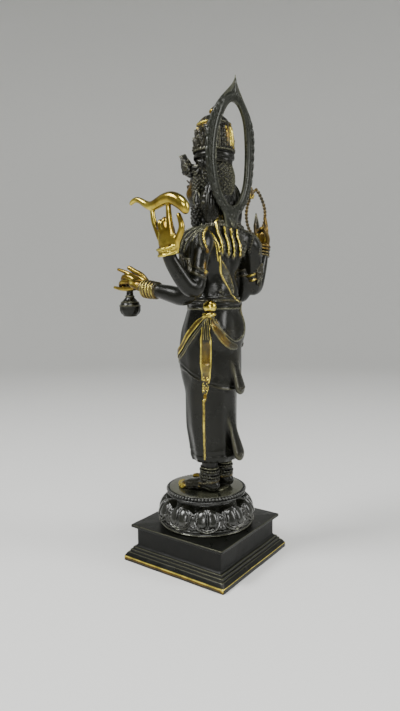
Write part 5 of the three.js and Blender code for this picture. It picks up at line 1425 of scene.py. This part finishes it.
def build_pedestal():
    z0 = PLINTH_TOP + GAP
    F = Field((-52, -52, z0 - 2), (52, 52, PEDESTAL_TOP + 2.4), FINE)
    F.lathe([(z0, 46.6), (z0 + 0.5, 47.3), (z0 + 1.3, 47.3), (z0 + 1.9, 46.4), (z0 + 3.2, 46.2), (z0 + 3.7, 47.1), (z0 + 4.4, 47.9), (z0 + 5.1, 47.9),
             (z0 + 5.7, 47.0), (z0 + 6.6, 44.6), (56, 38.6), (59.5, 34.6), (62.0, 32.2), (64.6, 31.8), (66.0, 33.4), (66.5, 36.8), (66.8, 39.0), (67.2, 39.9),
             (67.9, 40.0), (68.4, 39.5), (68.9, 37.5), (69.6, 36.6), (70.6, 36.7), (71.4, 37.5), (PEDESTAL_TOP, 37.4)])
    a = np.linspace(0, 2 * math.pi, 200)
    F.beads(np.column_stack([39.0 * np.cos(a), 39.0 * np.sin(a), 0 * a + 70.5]), 1.6, gap=2 * math.pi * 39.0 / (72 * 1.6), gold=0.1, closed=True)

    def petals(X, Y, Z):
        t = np.arctan2(Y, X)
        rho = np.sqrt(X * X + Y * Y)
        p = t * PETALS / (2 * np.pi)
        u = (p - np.round(p)) * 2                       # -1..1 across a petal, 0 on its axis
        au = np.abs(u)
        crest = 1 - au ** 2.3
        lo = 42.9 - 1.9 * crest
        hi = 56.8 + 5.0 * crest
        f = (Z - lo) / (hi - lo)
        fc = np.clip(f, 0, 1)
        R = hermite(fc, [0, 0.05, 0.18, 0.38, 0.66, 0.88, 1.0], [45.6, 47.9, 48.6, 48.5, 46.6, 43.6, 41.2])
        r = R - (3.4 * np.sin(np.pi * np.clip(fc * 0.85 + 0.12, 0, 1))) * au ** 2.6
        # nested outlines round the lower edge and up the sides
        a, b = np.abs(u) * 15.2, Z - lo
        q = np.sqrt((a / 15.2) ** 2 + (np.maximum(9 - b, 0) / 9) ** 2)
        e = np.where(b < 9, (1 - q) * 11, 15.2 - a)
        rim = 0.8 * np.exp(-((e - 1.3) / 0.7) ** 2) + 0.5 * np.exp(-((e - 3.8) / 0.55) ** 2) - 0.4 * np.exp(-((e - 2.6) / 0.55) ** 2) - 0.35 * np.exp(-((e - 4.9) / 0.5) ** 2)
        # two broad, nearly flat-topped lobes beside a deep groove
        w = np.clip(1 - ((au - 0.37) / 0.29) ** 4 - ((fc - 0.62) / 0.36) ** 4, 0, 1)
        lobe = 1.5 * w ** 0.34
        groove = -1.1 * np.exp(-(u / 0.055) ** 2) * smooth01(fc, 0.2, 0.35)
        tipb = 1.25 * np.sqrt(np.clip(1 - (u / 0.2) ** 2 - ((fc - 0.06) / 0.12) ** 2, 0, 1))
        r = r + rim + lobe + groove + tipb
        d = np.maximum((rho - r) * 0.8, np.maximum((lo - Z) * 0.9, (Z - hi) * 0.8))
        return np.maximum(d, 33 - rho)
    F.put(petals, (-50.5, -50.5, 40), (50.5, 50.5, 62.5), k=0.5)
    # tips of the under-petals between the main ones
    for i in range(PETALS):
        a = 2 * math.pi * (i + 0.5) / PETALS
        o = arr([math.cos(a), math.sin(a), 0])
        F.egg(o * 43.6 + arr([0, 0, 49.0]), (3.0, 3.2, 7.0), k=0.5, axes=[o, np.cross([0, 0, 1], o), (0, 0, 1)])
        F.egg(o * 45.9 + arr([0, 0, 44.6]), (2.2, 3.4, 3.4), k=0.4, axes=[o, np.cross([0, 0, 1], o), (0, 0, 1)])
    # small curls along the base ring
    for i in range(PETALS * 5):
        a = 2 * math.pi * (i + 0.5) / (PETALS * 5)
        o = arr([math.cos(a), math.sin(a), 0])
        F.ring(o * 46.9 + arr([0, 0, 43.1]), o, 0.95, 0.5, k=0.25)
    return F


def pedestal_gold(V, N, gold, hollow, ridge):
    worn = smooth01(ridge, 0.1, 0.55) * (1 - smooth01(hollow, 0.1, 0.4))
    # lighter bead row on the rim: partly rubbing, partly painted highlight standing in for the lit beads
    rim = smooth01(V[:, 2], 68.8, 69.6) * smooth01(np.hypot(V[:, 0], V[:, 1]), 38.4, 39.6)
    return np.maximum(0.2 * worn, 0.18 * rim)


# ------------------------------------------------------------------ plinth


def build_plinth(material):
    H, B, S = PLINTH_SIDE / 2, 50.2, 54.7
    steps = [(H, 0.0), (H, 4.5), (H - 2.6, 8.4), (H - 4.4, 9.0), (H - 4.4, 11.0), (H - 6.4, 11.4), (H - 6.4, 13.3),
             (H - 8.4, 13.7), (B, 15.6), (B, 33.8), (S, 33.8), (S, PLINTH_TOP - 0.4), (S - 0.4, PLINTH_TOP)]
    # round every edge of the section a little
    P = arr(steps)
    sec = [P[0] - arr([0.25, 0]), P[0] + arr([0, 0.25])] + [arr([H, z]) for z in (1.2, 2.3, 3.1, 3.7)]
    for i in range(1, len(P) - 1):
        a, b, c = P[i - 1], P[i], P[i + 1]
        r = min(0.4, 0.35 * np.linalg.norm(a - b), 0.35 * np.linalg.norm(c - b))
        p, q = b + unit(a - b) * r, b + unit(c - b) * r
        for t in (0, 0.33, 0.67, 1):
            sec.append((1 - t) ** 2 * p + 2 * t * (1 - t) * b + t * t * q)
        if i == 1:
            sec += [b + unit(c - b) * t for t in (0.8, 1.5, 2.6)]
    sec += [P[-1] - arr([0.0, 0.05]), P[-1] - arr([0.5, 0])]
    sec = arr(sec)
    rng = np.random.default_rng(7)
    ph = rng.uniform(0, 6.28, 24)
    m = 44
    rad = 1.1
    rings = []
    for h, z in sec:
        loop = []
        for k in range(4):
            c, s = [(1, 0), (0, 1), (-1, 0), (0, -1)][k]
            for j in range(m):
                f = j / m
                y = -h + rad + f * 2 * (h - rad)
                # slight hand-worn waviness of the casting
                w = 0.10 * math.sin(y * 0.09 + ph[k]) + 0.06 * math.sin(y * 0.23 + z * 0.3 + ph[4 + k])
                loop.append(((h + w) * c - y * s, (h + w) * s + y * c))
            for j in range(5):
                a = math.radians(18 * j) + k * math.pi / 2
                cc = (((h - rad) * c - (h - rad) * s), ((h - rad) * s + (h - rad) * c))
                loop.append((cc[0] + rad * math.cos(a), cc[1] + rad * math.sin(a)))
        rings.append([(x, y, z) for x, y in loop])
    n = len(rings[0])
    V = arr(rings).reshape(-1, 3)
    F = []
    for i in range(len(rings) - 1):
        for j in range(n):
            k = (j + 1) % n
            F.append((i * n + j, i * n + k, (i + 1) * n + k, (i + 1) * n + j))
    V = np.vstack([V, [[0, 0, 0]], [[0, 0, PLINTH_TOP]]])
    T = [(a, b, c) for a, b, c, d in F] + [(a, c, d) for a, b, c, d in F]
    last = (len(rings) - 1) * n
    for j in range(n):
        k = (j + 1) % n
        T.append((len(V) - 2, k, j))
        T.append((len(V) - 1, last + j, last + k))
    V[:, 2] = np.maximum(V[:, 2], 0)
    me = raw_mesh("plinth_casting", V, arr(T).astype(int))
    me.shade_smooth()
    # wear: gold rubbed along the outer edges, most on the bottom step; the thin light lines along the upper step edges
    # and the slab's top edge are painted highlights of the rounded edges
    x, y, z = V.T
    edge = np.maximum(np.abs(x), np.abs(y))
    corner = np.minimum(np.abs(x), np.abs(y)) / np.maximum(edge, 1)
    west = smooth01(x, 58.5, 59.5) * (np.abs(y) < 59.6)
    g = (0.85 + 0.35 * west) * np.exp(-((z - 4.55) / 0.36) ** 2) + (0.03 + 0.55 * west) * smooth01(z, -2.0, 4.0) * (z < 4.6)
    g = g + 0.1 * np.exp(-((z - 9.0) / 0.35) ** 2) + 0.08 * np.exp(-((z - 11.0) / 0.35) ** 2) + 0.08 * np.exp(-((z - 13.3) / 0.35) ** 2)
    g = g + 0.12 * np.exp(-((z - 36.4) / 0.4) ** 2) * (edge > 54)
    g = g + 0.2 * smooth01(corner, 0.95, 1.0) * (z < 12)
    # painted shade: dark bands under the top slab's overhang, at the foot of the block and in the inner corners of the
    # steps
    hollow = 0.8 * np.exp(-((z - 15.6) / 1.6) ** 2) + 0.6 * (np.exp(-((z - 33.2) / 1.6) ** 2)) * (edge < 51)
    hollow = hollow + 0.5 * np.exp(-((z - 11.5) / 0.4) ** 2) + 0.5 * np.exp(-((z - 9.2) / 0.4) ** 2)
    # lighter lines at the step edges and the slab's edges: painted highlights
    ridge = np.where(z > 4.1, g, 0.0)
    for level in (8.4, 11.0, 13.3):
        ridge = ridge + 0.75 * np.exp(-((z - level) / 0.2) ** 2) * (edge < H - 2.0)
    ridge = ridge + (0.6 * np.exp(-((z - 36.35) / 0.25) ** 2) + 0.3 * np.exp(-((z - 33.9) / 0.15) ** 2)) * (edge > 54.2)
    for key, values in (("gold", g), ("hollow", hollow), ("ridge", ridge)):
        at = me.attributes.new(key, "FLOAT", "POINT")
        at.data.foreach_set("value", np.clip(values, 0, 1.2).astype(np.float32))
    me.materials.append(material)
    ob = bpy.data.objects.new("plinth_casting", me)
    bpy.context.scene.collection.objects.link(ob)
    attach(ob, "root")
    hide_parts("plinth")
    return ob


# ---------------------------------------------------------------- materials


def bronze(name, dark, mid, gold, rough=0.36, coat=0.25, speck=0.5, seed=0.0, ior=1.45, metal=0.3):
    """Patinated bronze: dark brown-black, warmer and brighter where rubbed, dull and darker in the hollows (partly
    patina, partly painted shade), lighter on raised fine work (partly wear, partly painted highlight), with a fine cast
    grain."""
    mat = bpy.data.materials.new(name)
    mat.use_nodes = True
    nt = mat.node_tree
    nt.nodes.clear()
    N, L = nt.nodes.new, nt.links.new

    def math_node(op, a, b=None, clamp=False):
        n = N("ShaderNodeMath")
        n.operation = op
        n.use_clamp = clamp
        for i, v in enumerate((a, b)):
            if v is None:
                continue
            if isinstance(v, (int, float)):
                n.inputs[i].default_value = v
            else:
                L(v, n.inputs[i])
        return n.outputs[0]

    def attr(key):
        n = N("ShaderNodeAttribute")
        n.attribute_name = key
        return n.outputs["Fac"]

    def noise(scale, detail=4.0, rough_=0.55):
        n = N("ShaderNodeTexNoise")
        n.inputs["Scale"].default_value = scale
        n.inputs["Detail"].default_value = detail
        n.inputs["Roughness"].default_value = rough_
        L(shifted, n.inputs["Vector"])
        return n.outputs["Fac"]

    def ramp(value, lo, hi, a=0.0, b=1.0):
        n = N("ShaderNodeMapRange")
        n.interpolation_type = "SMOOTHSTEP"
        L(value, n.inputs["Value"])
        n.inputs["From Min"].default_value = lo
        n.inputs["From Max"].default_value = hi
        n.inputs["To Min"].default_value = a
        n.inputs["To Max"].default_value = b
        return n.outputs["Result"]

    def mix_rgb(f, a, b):
        n = N("ShaderNodeMix")
        n.data_type = "RGBA"
        ins = [s for s in n.inputs if s.type == "RGBA"]
        fac = [s for s in n.inputs if s.type == "VALUE"][0]
        L(f, fac)
        for sock, v in zip(ins, (a, b)):
            if isinstance(v, tuple):
                sock.default_value = (*v, 1)
            else:
                L(v, sock)
        return [s for s in n.outputs if s.type == "RGBA"][0]

    co = N("ShaderNodeTexCoord").outputs["Object"]
    mp = N("ShaderNodeMapping")
    mp.inputs["Location"].default_value = (seed, seed * 0.7, -seed)
    L(co, mp.inputs["Vector"])
    shifted = mp.outputs["Vector"]

    broad = noise(28.0, 3.0)
    cloud = noise(95.0, 5.0, 0.6)
    grain = noise(620.0, 4.0, 0.6)
    tiny = noise(1500.0, 2.0, 0.5)

    g = attr("gold")
    hollow, ridge = attr("hollow"), attr("ridge")
    # rubbed places: the mask is broken up by the noise
    broken = math_node("ADD", g, math_node("MULTIPLY", math_node("SUBTRACT", cloud, 0.5), 0.55))
    broken = math_node("ADD", broken, math_node("MULTIPLY", math_node("SUBTRACT", grain, 0.5), 0.28))
    worn = ramp(broken, 0.28, 0.74)
    # half-rubbed brown bronze over the dark patina
    half = math_node("ADD", math_node("MULTIPLY", broad, 0.8), math_node("MULTIPLY", ridge, 0.5))
    half = math_node("ADD", half, math_node("MULTIPLY", g, 0.8))
    brown = ramp(half, 0.42, 0.95)
    base = mix_rgb(brown, dark, mid)
    # darker in the hollows: partly patina, partly painted shade in the recesses where light does not reach
    patina_and_shade = ramp(hollow, 0.12, 0.75)
    base = mix_rgb(math_node("MULTIPLY", patina_and_shade, 0.75), base, tuple(c * 0.4 for c in dark))
    # raised fine work made a lighter grey-olive bronze: partly handling wear, partly painted highlight standing in for
    # glints the fine relief cannot catch
    rub_and_sheen = math_node("MULTIPLY", ramp(ridge, 0.25, 0.85), math_node("SUBTRACT", 1.0, patina_and_shade), True)
    base = mix_rgb(math_node("MULTIPLY", rub_and_sheen, 0.6), base, (0.17, 0.172, 0.115))
    gold_dull = tuple(c * 0.5 for c in gold)
    rich = mix_rgb(ramp(cloud, 0.35, 0.65), gold_dull, gold)
    # orange-brown where the rubbing did not quite reach
    amber = (gold[0] * 0.22, gold[1] * 0.155, gold[2] * 0.09)
    even = math_node("ADD", math_node("MULTIPLY", ridge, 0.8), math_node("MULTIPLY", math_node("SUBTRACT", broad, 0.5), 1.0))
    even = math_node("SUBTRACT", even, math_node("MULTIPLY", hollow, 0.9))
    even = math_node("ADD", even, math_node("MULTIPLY", math_node("SUBTRACT", g, 0.86), 1.7))
    rich = mix_rgb(ramp(even, -0.5, 0.06), amber, rich)
    clean = math_node("MULTIPLY", worn, math_node("SUBTRACT", 1.0, math_node("MULTIPLY", patina_and_shade, 0.8)), True)
    colour = mix_rgb(clean, base, rich)

    r = math_node("ADD", rough, math_node("MULTIPLY", math_node("SUBTRACT", cloud, 0.5), 0.24))
    r = math_node("ADD", r, math_node("MULTIPLY", patina_and_shade, 0.25))
    r = math_node("SUBTRACT", r, math_node("MULTIPLY", clean, 0.08), True)

    bump_v = math_node("ADD", math_node("MULTIPLY", cloud, 0.5), math_node("MULTIPLY", grain, 0.35 * speck))
    bump_v = math_node("ADD", bump_v, math_node("MULTIPLY", tiny, 0.12 * speck))
    bump = N("ShaderNodeBump")
    bump.inputs["Strength"].default_value = 0.5
    bump.inputs["Distance"].default_value = 0.0009
    L(bump_v, bump.inputs["Height"])

    sh = N("ShaderNodeBsdfPrincipled")
    L(colour, sh.inputs["Base Color"])
    L(math_node("ADD", metal, math_node("MULTIPLY", math_node("MAXIMUM", clean, math_node("MULTIPLY", rub_and_sheen, 0.7)), 1.0 - metal), True), sh.inputs["Metallic"])
    sh.inputs["IOR"].default_value = ior
    L(r, sh.inputs["Roughness"])
    L(bump.outputs["Normal"], sh.inputs["Normal"])
    sh.inputs["Coat Weight"].default_value = coat
    sh.inputs["Coat Roughness"].default_value = 0.22
    sh.inputs["Coat IOR"].default_value = 1.5
    out = N("ShaderNodeOutputMaterial")
    L(sh.outputs["BSDF"], out.inputs["Surface"])
    return mat


def plain(name, colour, rough):
    mat = bpy.data.materials.new(name)
    mat.use_nodes = True
    sh = mat.node_tree.nodes["Principled BSDF"]
    sh.inputs["Base Color"].default_value = (*colour, 1)
    sh.inputs["Roughness"].default_value = rough
    return mat


GOLD = (0.86, 0.70, 0.12)
MAT_FIGURE = bronze("patinated_bronze_figure", (0.006, 0.0062, 0.004), (0.029, 0.026, 0.0125), GOLD, rough=0.25, coat=0.05, seed=0.31, ior=1.41)
MAT_HALO = bronze("patinated_bronze_halo", (0.013, 0.0145, 0.009), (0.043, 0.045, 0.029), GOLD, rough=0.29, coat=0.05, seed=1.7, ior=1.42)
MAT_PEDESTAL = bronze("patinated_bronze_pedestal", (0.009, 0.0095, 0.0065), (0.042, 0.042, 0.029), GOLD, rough=0.21, coat=0.14, seed=2.9, ior=1.75)
MAT_PLINTH = bronze("patinated_bronze_plinth", (0.006, 0.0065, 0.005), (0.024, 0.023, 0.015), GOLD, rough=0.3, coat=0.04, seed=4.3, ior=1.38)

# ------------------------------------------------------------------- pieces

build_plinth(MAT_PLINTH)
sculpt("lotus_pedestal_casting", build_pedestal(), 150000, "lotus_pedestal", [MAT_PEDESTAL], pedestal_gold)
sculpt("halo_casting", build_halo(), 90000, "halo", [MAT_HALO], halo_gold)
sculpt("figure_casting", build_figure(), 198000, "figure", [MAT_FIGURE], figure_gold)

# --------------------------------------------------- floor, light and camera


def cove():
    """Pale floor that rises into a round wall."""
    prof = [(0.0, 0.0), (1.6, 0.0)] + [(1.6 + 1.2 * math.sin(a), 1.2 - 1.2 * math.cos(a)) for a in np.linspace(0.1, math.pi / 2, 12)] + [(2.8, 4.0)]
    n = 96
    verts, faces = [(0, 0, 0)], []
    for r, z in prof[1:]:
        verts += [(r * math.cos(2 * math.pi * j / n), r * math.sin(2 * math.pi * j / n), z) for j in range(n)]
    for j in range(n):
        faces.append((0, 1 + j, 1 + (j + 1) % n))
    for i in range(len(prof) - 2):
        for j in range(n):
            a, b = 1 + i * n + j, 1 + i * n + (j + 1) % n
            faces.append((a, a + n, b + n, b))
    me = bpy.data.meshes.new("pale_floor")
    me.from_pydata(verts, [], faces)
    me.shade_smooth()
    me.materials.append(plain("pale_floor", (0.78, 0.78, 0.76), 0.75))
    ob = bpy.data.objects.new("pale_floor", me)
    bpy.context.scene.collection.objects.link(ob)


def softbox(name, at, target, size, power, colour=(1, 1, 1)):
    li = bpy.data.lights.new(name, "AREA")
    li.shape = "RECTANGLE"
    li.size, li.size_y = size
    li.energy = power
    li.color = colour
    ob = bpy.data.objects.new(name, li)
    from mathutils import Vector
    ob.location = at
    ob.rotation_mode = "QUATERNION"
    ob.rotation_quaternion = (Vector(at) - Vector(target)).to_track_quat("Z", "Y")
    bpy.context.scene.collection.objects.link(ob)
    return ob


cove()
softbox("key", (0.9, -0.6, 1.5), (0, 0, 0.25), (0.5, 0.6), 25)
softbox("top", (0.3, 0.4, 1.65), (0, 0, 0.2), (0.5, 0.5), 12)
softbox("front", (0.98, 0.6, 0.76), (0, 0, 0.12), (0.55, 0.38), 8)
softbox("rim", (-0.5, 1.3, 0.9), (0, 0, 0.25), (0.4, 1.0), 12)
world = bpy.data.worlds.new("soft_world")
world.use_nodes = True
world.node_tree.nodes["Background"].inputs["Color"].default_value = (0.82, 0.86, 0.84, 1)
world.node_tree.nodes["Background"].inputs["Strength"].default_value = 0.17
bpy.context.scene.world = world

from mathutils import Matrix

cam = bpy.data.cameras.new("view_camera")
cam.sensor_width = 36.0
cam.sensor_fit = "AUTO"
cam.lens = 560.417 * 36.0 / 711.0
cam.clip_start, cam.clip_end = 0.01, 50
camera = bpy.data.objects.new("view_camera", cam)
right = (-0.58207166, 0.81309181, -0.00861962)
up = (-0.0902755, -0.05408375, 0.99444722)
back = (0.80811071, 0.57961768, 0.10488289)
camera.matrix_world = Matrix([[right[i], up[i], back[i], (0.4548, 0.3198, 0.2641)[i]] for i in range(3)] + [[0, 0, 0, 1]])
bpy.context.scene.collection.objects.link(camera)
bpy.context.scene.camera = camera
